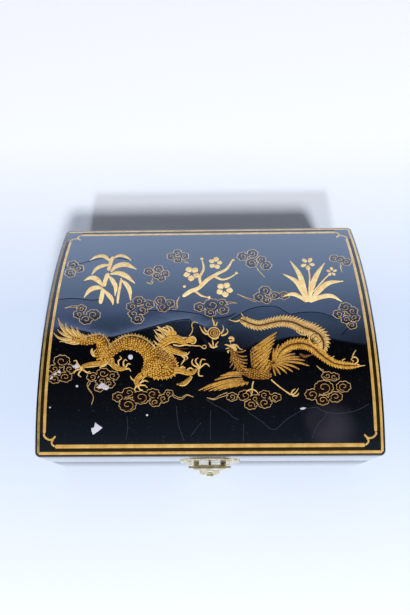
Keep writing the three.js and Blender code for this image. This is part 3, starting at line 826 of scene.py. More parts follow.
DRAGON_FLAMES = [
    [(74, 338, 5), (66.6, 333, 4.2), (61, 325.6, 2.6), (58, 317.6, 0.8)],
    [(76, 338, 5), (71, 332.4, 4.2), (66.8, 327.6, 2.4), (65.8, 322.6, 0.8)],
    [(79, 338.6, 4.6), (76, 333.4, 3.8), (72.6, 329, 2.2), (71.4, 325.6, 0.8)],
    [(83, 340, 4), (80.6, 335.4, 3), (78, 331, 2), (77, 327.2, 0.8)],
    [(87, 340, 3), (85, 336.6, 2.2), (82.2, 333.6, 0.8)],
    [(72, 337, 4.4), (65, 335, 3.2), (60.6, 332.6, 2), (57.8, 329.6, 0.8)],
    [(73, 339, 4.4), (65, 339.4, 3.6), (58.6, 337.6, 2.4), (53.8, 333, 0.9)],
    [(76, 341, 4), (69.6, 342.6, 3), (63.6, 341.4, 1.6), (59.6, 341.6, 0.8)],
    [(80, 342.6, 3.4), (75, 343.8, 2.4), (69.6, 343.6, 1)],
    [(78, 340, 4), (69.6, 334.6, 3.4), (64, 328, 2), (62.4, 323.6, 0.8)],
    [(108.6, 361.4, 1.6), (104.6, 365, 3), (99.4, 367.4, 0.9)],
    [(92.4, 348.2, 1.4), (91.8, 352, 3), (94.6, 356.8, 3)],
]
DRAGON_FINGERS = [
    [(80, 367, 2), (77.6, 363.4, 1.6), (76, 360.4, 1.2), (73.4, 361.4, 0.6)],
    [(80, 369, 2), (75.6, 370.6, 1.6), (73.6, 374, 0.7)],
    [(81, 370, 2), (78.4, 374.4, 1.6), (81.4, 377.2, 0.7)],
    [(83, 369.6, 2), (87, 372.4, 1.6), (89.6, 371.4, 1), (90.4, 374, 0.6)],
    [(124, 366.6, 2), (123.4, 362.4, 1.6), (125.4, 359.6, 1.2), (127.4, 361.4, 0.6)],
    [(125.6, 367.6, 2), (128, 363.8, 1.6), (131, 364.4, 0.7)],
    [(125.6, 369, 2), (129, 368.8, 1.6), (131, 371.6, 0.7)],
    [(119, 366, 1.4), (118.4, 361, 1.6), (121.4, 358.4, 1.2), (119.6, 356, 0.6)],
    [(137.6, 384, 2), (134, 380.4, 1.8), (131.6, 378.6, 1.4), (130.2, 375.8, 0.6)],
    [(139.6, 383, 2), (144.6, 380.6, 1.6), (148.6, 381.8, 0.7)],
    [(139, 385, 2), (144.6, 385.4, 1.6), (147.6, 388, 0.7)],
    [(137.6, 386, 2), (140, 389.4, 1.4), (143, 390, 0.7)],
    [(136.6, 385.6, 2), (134.6, 389.4, 1.4), (136, 391.6, 0.7)],
    [(198.6, 367.4, 1.8), (193.6, 365.2, 1.7), (191.8, 362, 1.5), (193, 358.8, 0.8)],
    [(199, 366.4, 1.8), (196, 362.4, 1.6), (195.8, 359.6, 1.4), (198.2, 357.8, 0.8)],
    [(200, 366.2, 1.8), (200.6, 361.6, 1.6), (202.4, 359.2, 1.4), (205.6, 359.8, 0.8)],
    [(201, 367, 1.8), (204.6, 364, 1.6), (207.4, 364.2, 1.4), (209.6, 366.8, 0.8)],
    [(199.4, 369, 1.6), (198.4, 372.6, 1.6), (199.4, 375.6, 1.4), (203.2, 376, 0.8)],
]
DRAGON_TUFTS = [
    [(179, 385.4, 1.2), (185, 384.8, 2), (190, 380, 1.8), (192.6, 376.4, 0.8)],
    [(187, 369.6, 2), (190.6, 368, 1.8), (193.6, 369.6, 0.8)],
    [(179, 369, 2), (182.4, 366.6, 1.8), (185.6, 368.2, 0.8)],
]
DRAGON_HEAD = [
    [(158, 347, 8), (164, 342.4, 10), (170, 339, 11), (177, 339, 9.6), (183, 341.6, 7), (188, 341.6, 5.6)],
    [(166, 347, 8), (173, 350.4, 7.6), (180, 352.8, 5.6), (187, 353.4, 3)],
    [(185, 341.4, 4), (190.4, 339.8, 7.4), (194.6, 340.8, 4.4)],
    [(168, 336.4, 6), (171.6, 333, 7), (176.4, 334.6, 5)],
]
DRAGON_HEAD_BRIGHT = [
    [(171, 333.6, 3), (166, 331, 3), (160.8, 328.6, 2), (157.6, 326.4, 0.8)],
    [(170, 336.6, 2.6), (164.6, 333.4, 2.4), (159.6, 330.6, 1.8), (155.4, 329.8, 0.7)],
    [(169, 339.6, 2.4), (163.4, 337, 2.2), (159.6, 334.4, 1.6), (156.8, 333.6, 0.7)],
    [(168, 342.6, 2.2), (163, 341.2, 2), (160, 339, 1.6), (157.6, 337, 0.7)],
    [(172, 333, 2.6), (172.6, 329.6, 2.2), (170, 327, 1.6), (166.4, 325.8, 0.7)],
    [(165, 336, 3), (161.4, 331, 2.6), (157.2, 326.6, 1)],
    [(168, 335, 3), (169.6, 330.6, 2.6), (165.8, 325.8, 1)],
    [(161.4, 329.6, 1.8), (164.4, 327.4, 1.4), (166.6, 329, 0.8)],
    [(163, 339.6, 2.8), (158.6, 335.6, 2.4), (153.8, 330, 0.8)],
    [(162, 343, 2.6), (158, 340.2, 2.2), (154.8, 335.4, 0.8)],
    [(161, 346, 2.4), (156.8, 344, 2), (153.6, 340.4, 0.8)],
    [(160, 349.4, 2.2), (155.6, 348, 1.8), (152.6, 344.4, 0.8)],
    [(165, 348, 2), (160.6, 350.6, 1.6), (157.6, 349.4, 0.7)],
    [(168, 350, 2), (164.4, 353.2, 1.6), (160.4, 353.6, 0.7)],
    [(178, 336.4, 2.2), (183, 338, 2), (187, 337.2, 0.9)],
    [(188.6, 340.6, 2), (190, 337.6, 2), (193.6, 337, 1.9), (195.8, 340, 1.7), (194, 343.4, 1.6),
     (190.8, 343, 1)],
    [(173, 344.6, 1.6), (179.6, 345.8, 1.8), (186, 344.8, 1.8), (191.4, 345.8, 1)],
    [(176, 353, 2.4), (181, 355, 2.2), (186.8, 354.6, 1.6), (189.6, 351.6, 0.8)],
    [(181, 354.6, 2.2), (184.6, 358.6, 1.9), (182.8, 362, 1.5), (180.6, 365.2, 0.6)],
    [(184, 355, 2), (187.4, 357.4, 1.6), (186.4, 360, 0.7)],
    [(170.6, 339.2, 1.2), (173, 341.2, 1.4), (176.4, 340.8, 0.9)],
    [(189, 336.4, 1), (191.8, 332.4, 1), (192.6, 328.6, 1), (191.8, 325, 1), (194, 322.2, 1),
     (198, 323.2, 0.7)],
    [(190.4, 345, 1.2), (195, 345.8, 1.1), (199.8, 346, 1), (203.6, 348.6, 1), (206.2, 347.4, 1),
     (205, 345.2, 1), (201.6, 346.6, 0.7)],
]
DRAGON_HAIRS = [
    [(100, 362, 1), (92.6, 363.6, 1.2), (85.6, 364.2, 0.8)],
    [(99, 365.6, 1), (92, 366.8, 1.2), (85, 367.4, 0.8)],
    [(106, 358, 1), (112, 362.4, 1.2), (118, 365.6, 0.8)],
    [(107, 363, 1), (112.6, 366.6, 1.2), (119, 369.2, 0.8)],
    [(95.6, 350, 1), (93.6, 353, 1.6), (95.6, 357, 1)],
    [(142, 374, 1), (139, 379, 1.2), (136.4, 384, 0.8)],
    [(145.6, 375.6, 1), (142.6, 379.4, 1.2), (139.8, 384.4, 0.8)],
    [(173, 367.6, 1), (179, 368.2, 1.3), (185.4, 370.8, 1)],
    [(174, 372.6, 1.2), (181, 373, 1.4), (187, 374.6, 1)],
    [(166, 343, 1.4), (170, 341.4, 1.6), (174, 342.6, 1)],
    [(163.4, 349.6, 1.4), (167.6, 347.4, 1.5), (171.6, 348.6, 0.9)],
    [(159, 352.6, 1.2), (163.4, 351.6, 1.4), (167.6, 353.4, 0.8)],
    [(156, 343.4, 1.2), (159.6, 345.6, 1.4), (162.6, 349, 0.8)],
    [(154.4, 348.4, 1.2), (158.6, 350.2, 1.4), (161, 354, 0.8)],
    [(177, 341.6, 1.2), (181.6, 342, 1.5), (186, 341, 0.9)],
    [(167.4, 338.6, 2), (170.6, 337, 2.4), (173.6, 338.6, 1.4)],
    [(80, 366.4, 2.6), (81.6, 369, 3.2), (80.6, 371, 1.6)],
    [(123, 367.4, 2.4), (125.6, 368.4, 2.8), (127, 369.6, 1.4)],
    [(136.6, 383.4, 2.6), (138.4, 385.6, 3), (138, 388, 1.4)],
    [(197, 369, 2), (199.6, 367.4, 3), (201.4, 367.6, 1.4)],
]
DRAGON_DARKS = [
    [(172, 346.6, 1.2), (178.4, 348.4, 1.8), (184.4, 348.8, 1.2), (189, 348.2, 0.6)],
    [(174.4, 339, 1.2), (175.4, 339.4, 1.4), (176.2, 339.4, 1)],
    [(191.6, 340, 1), (193, 340.4, 1.2), (193.4, 341.4, 0.8)],
    [(167, 338, 0.9), (163.4, 333.6, 0.9), (160.4, 330, 0.6)],
    [(166, 342, 0.9), (161, 338.6, 0.9), (157.6, 334.6, 0.6)],
    [(165, 345.6, 0.9), (159.6, 342.6, 0.9), (156.4, 339.4, 0.6)],
]
DRAGON_BACKS = [
    [(84, 338), (90, 336.8), (96, 335.4), (101, 335.6), (105.4, 338.6), (108, 343), (109.6, 348)],
    [(110, 348), (116, 342), (122, 338.2), (129, 336.4), (137, 336.8), (144, 339.4), (150, 343.4),
     (155, 349)],
    [(160, 345), (164, 349.6), (169, 355), (173, 359)],
]
DRAGON_COIL = [(170, 356), (174, 361), (176.4, 366.6), (174.8, 372), (169, 375.8), (161, 377), (153, 376.6)]
PIXEL_ON_LID = 0.8 * MM
SCALE_PITCH, SCALE_LENGTH, SCALE_SHIFT = 2.4 * PIXEL_ON_LID, 2.35 * PIXEL_ON_LID, 0.14 * MM
SCALE_UNEVENNESS, SCALE_SEED = 0.25, 5
# A row of scales ends at this share of the body's half width, is drawn in by this share, and tapers.
ROW_END, ROW_INSET, ROW_TAPER = 0.94, 0.95, 0.25
BODY_HEIGHT, LIMB_HEIGHT, TOUCH_HEIGHT, DRAWING_HEIGHT = 0.34 * MM, 0.30 * MM, 0.26 * MM, 0.36 * MM
# Tufts: the side of the line they stand on, then pitch, length and width in pixels, and how far they lean.
BACK_TUFTS = (-1, 1.8, 3.2, 1.2, 0.75)
COIL_TUFTS = (-1, 2.2, 3.6, 2.4, 0.4)
SHORT_TUFT, TUFT_BEND, TUFT_MIDDLE, TUFT_TIP = 0.72, 0.12, 0.7, 0.25
# Dark strands on broad strokes, as shares of the way from the middle of the stroke to its edge.
LIMB_STRANDS, HEAD_STRANDS, FLAME_STRANDS = (-0.5, -0.05, 0.4), (-0.6, -0.1, 0.45), (0.15,)
BROAD_STRAND, FINE_STRAND = 0.8, 0.6


def ribbon_normals(line):
    """Unit directions along a line on the vault and across it."""
    along = np.gradient(line[:, :2], axis=0)
    along /= np.maximum(np.hypot(*along.T), 1e-9)[:, None]
    return along, np.stack([-along[:, 1], along[:, 0]], axis=1)


def scale_places(bodies):
    """Middles, headings and sizes of the scales over body lines, in staggered, slightly uneven rows."""
    chance = np.random.default_rng(SCALE_SEED)
    places = []
    for body in bodies:
        line = painted(body, step=0.2 * MM)
        along, across = ribbon_normals(line)
        travelled = np.concatenate([[0], np.cumsum(np.hypot(*np.diff(line[:, :2], axis=0).T))])
        for row in range(int(travelled[-1] / SCALE_PITCH)):
            i = int(np.searchsorted(travelled, (row + 0.5) * SCALE_PITCH))
            half = line[i, 2] / 2
            count = max(1, round(2 * half / SCALE_PITCH))
            for column in range(count + 1):
                share = (2 * (column + 0.5 * (row % 2)) / count) - 1
                if abs(share) > ROW_END:
                    continue
                spot = line[i, :2] + across[i] * half * share * ROW_INSET + chance.normal(0, SCALE_SHIFT, 2)
                dome = BODY_HEIGHT * math.sqrt(max(0.0, 1 - share**2))
                heading = math.atan2(along[i][1], along[i][0])
                places.append((*spot, dome, heading, 1 - ROW_TAPER * abs(share)))
    return places


def scale_shape():
    """One roof-tile scale, a unit long: rooted at the front, lifted and round at its free end."""
    outline = [(0.45, -0.20), (0.30, -0.42), (-0.05, -0.48), (-0.40, -0.30), (-0.55, 0.0)]
    outline += [(x, -y) for x, y in reversed(outline[:-1])]
    points = [(x, y, 0.10 - 0.16 * x - 0.25 * y * y) for x, y in outline] + [(-0.1, 0.0, 0.24)]
    middle = len(points) - 1
    faces = [(i, (i + 1) % middle, middle) for i in range(middle)]
    mesh = bpy.data.meshes.new("scale_shape")
    mesh.from_pydata(points, [], [face[::-1] for face in faces])
    mesh.shade_smooth()
    return mesh


def set_out(name, shape, spots, turns, sizes, unit, unevenness, material):
    """Sets one shape out on many spots with Geometry Nodes, and returns the joined mesh."""
    pattern = bpy.data.objects.new(name + "_pattern", shape)
    scene.collection.objects.link(pattern)
    dots = bpy.data.meshes.new(name + "_spots")
    dots.from_pydata(np.asarray(spots).tolist(), [], [])
    dots.attributes.new("turn", "FLOAT_VECTOR", "POINT").data.foreach_set("vector", np.ravel(turns))
    dots.attributes.new("share", "FLOAT", "POINT").data.foreach_set("value", np.ravel(sizes))
    carrier = bpy.data.objects.new(name, dots)
    scene.collection.objects.link(carrier)
    tree = bpy.data.node_groups.new(name + "_nodes", "GeometryNodeTree")
    tree.interface.new_socket("Geometry", in_out="INPUT", socket_type="NodeSocketGeometry")
    unit_input = tree.interface.new_socket("Size", in_out="INPUT", socket_type="NodeSocketFloat")
    uneven_input = tree.interface.new_socket("Unevenness", in_out="INPUT", socket_type="NodeSocketFloat")
    seed_input = tree.interface.new_socket("Seed", in_out="INPUT", socket_type="NodeSocketInt")
    tree.interface.new_socket("Geometry", in_out="OUTPUT", socket_type="NodeSocketGeometry")
    given = add_node(tree, "NodeGroupInput")
    turn = add_node(tree, "GeometryNodeInputNamedAttribute", {"Name": "turn"}, data_type="FLOAT_VECTOR")
    share = add_node(tree, "GeometryNodeInputNamedAttribute", {"Name": "share"}, data_type="FLOAT")
    rotation = add_node(tree, "FunctionNodeEulerToRotation", {"Euler": turn.outputs["Attribute"]})
    least = add_node(tree, "ShaderNodeMath", {0: 1.0, 1: given.outputs["Unevenness"]}, operation="SUBTRACT")
    chance = add_node(
        tree,
        "FunctionNodeRandomValue",
        {2: least.outputs["Value"], 3: 1.0, "Seed": given.outputs["Seed"]},
        data_type="FLOAT",
    )
    sized = add_node(
        tree, "ShaderNodeMath", {0: share.outputs["Attribute"], 1: chance.outputs[1]}, operation="MULTIPLY"
    )
    final = add_node(
        tree, "ShaderNodeMath", {0: sized.outputs["Value"], 1: given.outputs["Size"]}, operation="MULTIPLY"
    )
    source = add_node(tree, "GeometryNodeObjectInfo", {"Object": pattern})
    spots_node = add_node(tree, "GeometryNodeMeshToPoints", {"Mesh": given.outputs["Geometry"]})
    placed = add_node(
        tree,
        "GeometryNodeInstanceOnPoints",
        {
            "Points": spots_node.outputs["Points"],
            "Instance": source.outputs["Geometry"],
            "Rotation": rotation.outputs["Rotation"],
            "Scale": final.outputs["Value"],
        },
    )
    joined = add_node(tree, "GeometryNodeRealizeInstances", {"Geometry": placed.outputs["Instances"]})
    finished = add_node(
        tree, "GeometryNodeSetMaterial", {"Geometry": joined.outputs["Geometry"], "Material": material}
    )
    add_node(tree, "NodeGroupOutput", {"Geometry": finished.outputs["Geometry"]})
    modifier = carrier.modifiers.new(name, "NODES")
    modifier.node_group = tree
    modifier[unit_input.identifier] = unit
    modifier[uneven_input.identifier] = unevenness
    modifier[seed_input.identifier] = 7
    ready = carrier.evaluated_get(bpy.context.evaluated_depsgraph_get())
    mesh = bpy.data.meshes.new_from_object(ready)
    mesh.name = name
    bpy.data.objects.remove(carrier)
    bpy.data.objects.remove(pattern)
    return mesh


def lay_scales(name, bodies, length):
    """A mesh of overlapping scales over painted body lines."""
    data = np.array(scale_places(bodies))
    spots = lid_points(data[:, 0], data[:, 1], data[:, 2])
    turns = np.stack([-data[:, 1] / vault_radius, np.zeros(len(data)), data[:, 3]], axis=1)
    return set_out(name, scale_shape(), spots, turns, data[:, 4], length, SCALE_UNEVENNESS, scale_gold)


def fringe(line, side, pitch, length, width, lean):
    """Short pointed tufts that stand along a line, leaning back."""
    points = smooth_line([(u, v) for u, v in line], pitch)
    along, across = ribbon_normals(points)
    tufts = []
    for number, (point, ahead, out) in enumerate(zip(points, along, across)):
        reach = length * (1.0 if number % 2 else SHORT_TUFT)
        tip = point + out * side * reach - ahead * reach * lean
        middle = (point + tip) / 2 - ahead * reach * TUFT_BEND
        tufts.append([(*point, width), (*middle, width * TUFT_MIDDLE), (*tip, width * TUFT_TIP)])
    return tufts


body_gold = gold_powder("gold_relief_shaded", "#84540F", "#3A1C04", 1.6 * MM, 0.16, coat=0.3)
scale_gold = gold_powder("gold_scale_touches", "#E4B44C", "#985E14", 1.2 * MM, 0.14, coat=0.35)
pale_gold = gold_powder("gold_pale_touches", "#E6C47A", "#B4843A", 1.8 * MM, 0.2, coat=0.5)
brown_line = gold_powder("brown_drawing_line", "#4A280C", "#241004", 2 * MM, 0.2, 0.5, 0.0, 0.2)


def strands(line, shares, width):
    """Thin lines that run along a broad one, each at its own share of the way across."""
    points = smooth_line(line, 1.2)
    _, across = ribbon_normals(points)
    return [
        [(*(point[:2] + out * share * point[2] / 2), width) for point, out in zip(points, across)][1:-1]
        for share in shares
    ]


paint("dragon_body_relief", [painted(line) for line in DRAGON_BODY], BODY_HEIGHT, body_gold)
limbs = DRAGON_LIMBS + DRAGON_HEAD + fringe(DRAGON_COIL, *COIL_TUFTS)
paint("dragon_limbs_and_head", [painted(line) for line in limbs], LIMB_HEIGHT, scale_gold)
add_piece(lay_scales("dragon_scales", DRAGON_BODY, SCALE_LENGTH), scale_gold, "lid")
touches = DRAGON_FLAMES + DRAGON_FINGERS + DRAGON_TUFTS + DRAGON_HEAD_BRIGHT + DRAGON_HAIRS
for line in DRAGON_BACKS:
    touches += fringe(line, *BACK_TUFTS)
paint("dragon_bright_touches", [painted(line) for line in touches], TOUCH_HEIGHT, pale_gold)
darks = list(DRAGON_DARKS)
for line in DRAGON_LIMBS:
    darks += strands(line, LIMB_STRANDS, BROAD_STRAND)
for line in DRAGON_HEAD[:2]:
    darks += strands(line, HEAD_STRANDS, BROAD_STRAND)
for line in DRAGON_FLAMES[:-2]:
    darks += strands(line, FLAME_STRANDS, FINE_STRAND)
paint("dragon_dark_lines", [painted(line) for line in darks], DRAWING_HEIGHT, brown_line)


# Flaming pearl
# The pearl that the two animals play with: a ringed ball with flames round it.
PEARL_RINGS = [(213.9, 332.8, 5.9, 1.2), (214.2, 333, 3.6, 0.9), (214.6, 333.2, 1.4, 0.9)]
PEARL_BALL = (213.9, 332.8, 5.4)
FLAME_HEIGHT, BALL_LIFT, BALL_CROWN = 0.24 * MM, 0.05 * MM, 0.12 * MM
RING_POINTS, RING_FLATNESS = 17, 0.9
PEARL_FLAMES = [
    [(214.4, 326, 2), (213.6, 322, 2), (212.6, 319.6, 1.3), (212.4, 317.6, 0.7)],
    [(215.6, 326.4, 1.6), (216.8, 323.6, 1.5), (217.4, 321.4, 0.7)],
    [(209, 334.6, 2), (205, 333.6, 2), (202, 330.6, 1.6), (199.6, 326, 0.7)],
    [(208.6, 332.6, 1.7), (205.4, 330.6, 1.6), (203.8, 326.8, 0.7)],
    [(220.4, 334, 2), (222.6, 331.4, 1.8), (223.6, 328.6, 1.3), (222.6, 325, 0.7)],
    [(221, 335.6, 2), (225.4, 334.4, 1.9), (227.8, 331.6, 1.4), (226.2, 328.4, 0.7)],
    [(211, 337.4, 1.8), (214.6, 338.8, 2.2), (218.6, 337.4, 1.8)],
    [(209.6, 346, 1.2), (213.4, 347.4, 2.4), (217.6, 346, 1.2)],
    [(211.6, 346, 1.6), (209.6, 344.4, 1.4), (208.6, 342.8, 0.7)],
    [(213.4, 346, 1.7), (212.8, 342.4, 1.5), (212.2, 339, 0.7)],
    [(215.4, 346, 1.6), (216.6, 343.6, 1.4), (218.4, 341.4, 0.7)],
]


def ring_line(u, v, radius, width):
    """A ring of photograph points round a middle, a little flatter than a circle."""
    turns = np.linspace(0, 2 * math.pi, RING_POINTS)
    return [(u + radius * math.cos(a), v + RING_FLATNESS * radius * math.sin(a), width) for a in turns]


pearl_lines = [ring_line(*ring) for ring in PEARL_RINGS] + PEARL_FLAMES
paint("flaming_pearl_lines", [painted(line) for line in pearl_lines], FLAME_HEIGHT, pale_gold)
ball_outline = [point[:2] for point in ring_line(*PEARL_BALL, 1)[:-1]]
ball = patch_mesh("pearl_ball", [ball_outline], BALL_LIFT, BALL_CROWN)
add_piece(ball, body_gold, "lid")


# Phoenix
# A crested bird with spread wings and two long eyed tail plumes. Every feather is a tapered touch of gold
# with a brown quill drawn on it.
PHOENIX_PLUMES = [
    ([(240, 319.4, 5), (244, 320.6, 7.4), (250, 323.4, 7.6), (259.2, 325.3, 7.8), (271.8, 322.7, 8.4),
      (282, 321, 9), (293, 322.4, 10), (303, 327, 11), (313, 331, 12), (320.6, 336.6, 12),
      (323.6, 343.6, 9), (323, 350.6, 5)], 3.4),
    ([(277, 358, 5), (282, 350.4, 7), (291, 344.8, 8.6), (302, 343.6, 8.6), (311.7, 346.8, 8.2),
      (320, 353.5, 7.4), (327, 359, 6.6), (333.8, 363, 6), (342.7, 365, 6), (350, 365.6, 5),
      (357.6, 365.6, 2)], 2.8),
]
PHOENIX_BODY = [
    [(272, 375.4, 7), (264, 374.6, 11), (256.6, 374, 12), (249.6, 373, 11), (243, 370.8, 8)],
    [(242, 371, 9), (238.6, 365.6, 9), (235.4, 359.4, 8), (232.8, 352.6, 6), (231.4, 347.8, 4.6)],
    [(262, 374, 8), (266, 367, 12), (269.6, 359.6, 9)],
    [(253.4, 368, 5), (257.4, 358, 10), (262.4, 349.6, 10), (269, 342, 7)],
]
WING_FEATHERS = [
    ((251.6, 349.6), (277, 332.2), 3.4), ((251.2, 353), (275.8, 336), 3.2),
    ((251.4, 356.6), (275.2, 339.6), 3.2), ((251.8, 360), (274.2, 343.2), 3.2),
    ((252.8, 363.4), (272.6, 347.4), 3.2), ((254.2, 366.4), (271, 351.4), 3.2),
    ((256.4, 369.2), (269.4, 355.6), 3.2), ((259.6, 371), (268.4, 360), 3.0),
    ((263.6, 372.4), (269.6, 364.6), 3.0), ((252, 368), (250.6, 350), 1.5),
    ((254, 366), (252.8, 347), 1.3), ((251.4, 352), (262.4, 341.6), 1.6),
]
FAN_CENTRE = (272.4, 363.6)
FAN_FEATHERS = [
    ((273.8, 348.4), 2.4, 0.0), ((278.7, 344), 2.5, -0.6), ((284.4, 343.6), 2.6, -1.2),
    ((288.4, 347.4), 2.4, -1.6), ((292, 350.6), 2.4, -2.0), ((295.4, 353.6), 2.4, -2.2),
    ((299.6, 357), 2.4, -2.6), ((305, 360.6), 2.5, -3.0), ((309.4, 366), 2.7, -3.2),
    ((299.6, 369.4), 2.5, -2.4), ((293, 372), 2.4, -1.8), ((287, 373.6), 2.4, -1.2),
    ((280.4, 375), 2.4, -0.6), ((275.4, 376), 2.4, 0.0),
]
LEFT_WING_FEATHERS = [
    ((244, 373), (226, 373.4), 3.2, 0.8), ((243, 374.6), (220, 376), 3.2, 1.4),
    ((242, 376), (214.4, 380.4), 3.2, 1.8), ((243, 378), (198.4, 390.6), 3.4, 2.4),
    ((243, 379.4), (203.4, 390.8), 3.0, 2.0), ((243.6, 380), (208.6, 391.2), 3.0, 1.2),
    ((244, 380.6), (213.4, 390.8), 2.8, 1.0), ((244.4, 381), (218.4, 390.6), 2.8, 0.8),
    ((245, 381.4), (224, 389), 2.6, 0.5), ((245.6, 381.6), (229.6, 388), 2.6, 0.4),
    ((246.4, 381.8), (235, 387.2), 2.4, 0.3), ((247.4, 382), (240.6, 386.2), 2.4, 0.2),
    ((248.6, 381.6), (246.4, 385), 2.2, 0.1),
]
HACKLES = [
    ((234, 351), (246, 350.2), 1.9, 1.6), ((235, 353), (247.2, 356), 1.9, 1.8),
    ((236, 355.6), (247.8, 359.8), 1.9, 1.8), ((237, 358), (247.6, 363.2), 1.9, 1.6),
    ((238, 361), (247, 366.8), 1.9, 1.4), ((239.6, 364), (247.6, 370), 1.9, 1.0),
    ((233, 352), (229.8, 359.6), 1.6, -0.6), ((233.6, 354), (229.6, 363), 1.6, -0.8),
    ((234.6, 356), (229.8, 367.6), 1.6, -1.0), ((236, 360), (233.4, 370), 1.6, -0.8),
    ((237.4, 362), (236.6, 372), 1.6, -0.6), ((234, 354), (240.6, 366), 1.8, 0.2),
    ((235.6, 356), (243.6, 369.4), 1.8, 0.4),
]
PHOENIX_HEAD = [
    [(229, 346.4, 2.6), (231.6, 346, 4.4), (234.6, 348.4, 4.6), (234.6, 351.4, 4)],
    [(229.4, 346, 2.2), (226.6, 344.8, 1.6), (224.4, 344.6, 0.7)],
    [(229.6, 348, 1.6), (227.2, 348.2, 1.2), (225.4, 349.2, 0.6)],
    [(229.6, 350, 1.8), (227.6, 351.6, 1.6), (229, 353.2, 0.8)],
    [(232, 344.4, 1.8), (236.6, 345.4, 2), (239.6, 348.6, 1.5), (242.6, 349.6, 0.7)],
    [(230.6, 343.6, 0.9), (230.4, 341, 0.9)],
    [(228.4, 338.6, 2.4), (231.2, 337.6, 3.2), (234.4, 339.4, 2.4)],
    [(229, 340.8, 1.6), (232, 340.8, 1.8), (234.6, 340.4, 1)],
]
PHOENIX_LEGS = [
    [(271, 379.4, 1.8), (275.4, 383.4, 1.5), (282, 388.6, 1.3), (290.6, 394.6, 1.6)],
    [(290, 394.4, 1.7), (293.6, 394, 1.6), (296.4, 391.4, 1.3), (298.6, 388, 0.7)],
    [(291, 394, 1.7), (292.4, 391, 1.6), (295.4, 388.6, 0.7)],
    [(292, 395.6, 1.7), (296.4, 395.6, 1.6), (299, 392.8, 0.8)],
    [(253.6, 381, 1.6), (252.4, 385, 1.4), (252, 389.6, 1.6)],
    [(252, 389, 1.5), (247.6, 390.4, 1.3), (245.8, 393.2, 0.7)],
    [(252, 389, 1.5), (252, 392.8, 1.3), (250.4, 396.6, 0.7)],
    [(252.4, 389, 1.5), (256.6, 391.4, 1.3), (257.8, 394, 0.7)],
]
PLUME_ENDS = [
    [(357, 366.6, 2.2), (361, 365.8, 1.3), (365.4, 365.4, 0.7)],
    [(350, 363.6, 2), (354.4, 364, 2), (357.8, 360.6, 2), (355, 357, 1.8), (351.4, 359.4, 1.6),
     (354, 361.4, 1.2)],
    [(352, 357.6, 1.2), (353.6, 353.6, 1.2), (356, 350, 0.7)],
    [(343, 364.4, 2), (342.4, 360.4, 1.6), (345.4, 358.6, 0.9)],
    [(333, 360, 1.8), (332.4, 357.4, 1.4), (334.6, 356, 0.7)],
    [(242, 319, 1.8), (236.6, 321.2, 2), (232.6, 320.8, 1.2), (228.8, 319.6, 0.7)],
    [(245, 318, 1.6), (242.6, 315.6, 1.3), (241, 312.6, 0.7)],
    [(321.6, 347, 1.6), (314.6, 346, 2), (309.4, 341, 2), (310.4, 334.6, 1.8), (316.6, 333, 1.4),
     (319, 337.4, 1)],
    [(296, 331, 1.4), (301.4, 334.4, 1.6), (308, 334.6, 1.3), (312, 332, 0.8)],
]
DOWN_LENGTH = 1.7 * PIXEL_ON_LID
PLUME_LEAF = [(299.3, 353.6, 2), (304, 356.4, 3.6), (308.6, 355.6, 2), (313.4, 354.4, 0.7)]
PEACOCK_EYES = [(243, 319.6, 3.0), (315.6, 339, 2.4), (316, 338.6, 5.6), (298.4, 343.6, 1.8),
                (354.4, 360.4, 2.6)]
FEATHER_EDGE, QUILL_WIDTH, SHAFT_WIDTH, PLUME_CORE, SLENDER = 1.1, 0.55, 1.3, 0.86, 0.8
# Shares of the way from a feather's root to its tip, and how broad it is there.
FEATHER_SHAPE = [(0.0, 0.4), (0.35, 0.8), (0.7, 0.95), (0.9, 0.55), (1.0, 0.15)]
# Barbs reach this share of the plume's half width, every second one further. They start near the shaft.
BARB_REACH, BARB_STAGGER, BARB_ROOT, BARB_BOW, BARB_LEAN = 1.1, 0.3, 0.15, 0.22, 0.75
BARB_WIDTHS = (1.3, 1.5, 0.5)
RELIEF_HEIGHT, EDGE_HEIGHT, FEATHER_HEIGHT = 0.24 * MM, 0.20 * MM, 0.34 * MM
BARB_HEIGHT, QUILL_HEIGHT = 0.30 * MM, 0.42 * MM


def feather(root, tip, width, bend=0.0):
    """A feather from its root to its tip: the touch of gold, and its quill."""
    root, tip = np.array(root, float), np.array(tip, float)
    run = tip - root
    out = np.array([-run[1], run[0]]) / max(np.hypot(*run), 1e-6)
    spots = [root + run * share + out * bend * math.sin(math.pi * share) for share, _ in FEATHER_SHAPE]
    blade = [(*spot, width * size) for spot, (_, size) in zip(spots, FEATHER_SHAPE)]
    quill = [(*spot, QUILL_WIDTH) for spot in spots[:4]]
    return blade, quill


def plume(points, barb):
    """A tail plume: barbs that stand out on both sides, leaning towards its end, and the shaft between."""
    line = smooth_line(points, 1.5)
    along, across = ribbon_normals(line)
    barbs = []
    for number, (point, ahead, out) in enumerate(zip(line, along, across)):
        for side in (-1, 1):
            half = point[2] / 2
            reach = half * (BARB_REACH + BARB_STAGGER * (number % 2))
            root = point[:2] + out * side * half * BARB_ROOT
            tip = point[:2] + out * side * reach + ahead * barb * BARB_LEAN
            middle = (root + tip) / 2 + out * side * half * BARB_BOW
            barbs.append([(*spot, width) for spot, width in zip((root, middle, tip), BARB_WIDTHS)])
    base = [(*point[:2], point[2] * PLUME_CORE) for point in line[::2]]
    shaft = [(*point[:2], SHAFT_WIDTH) for point in line[::2]]
    return base, barbs, shaft


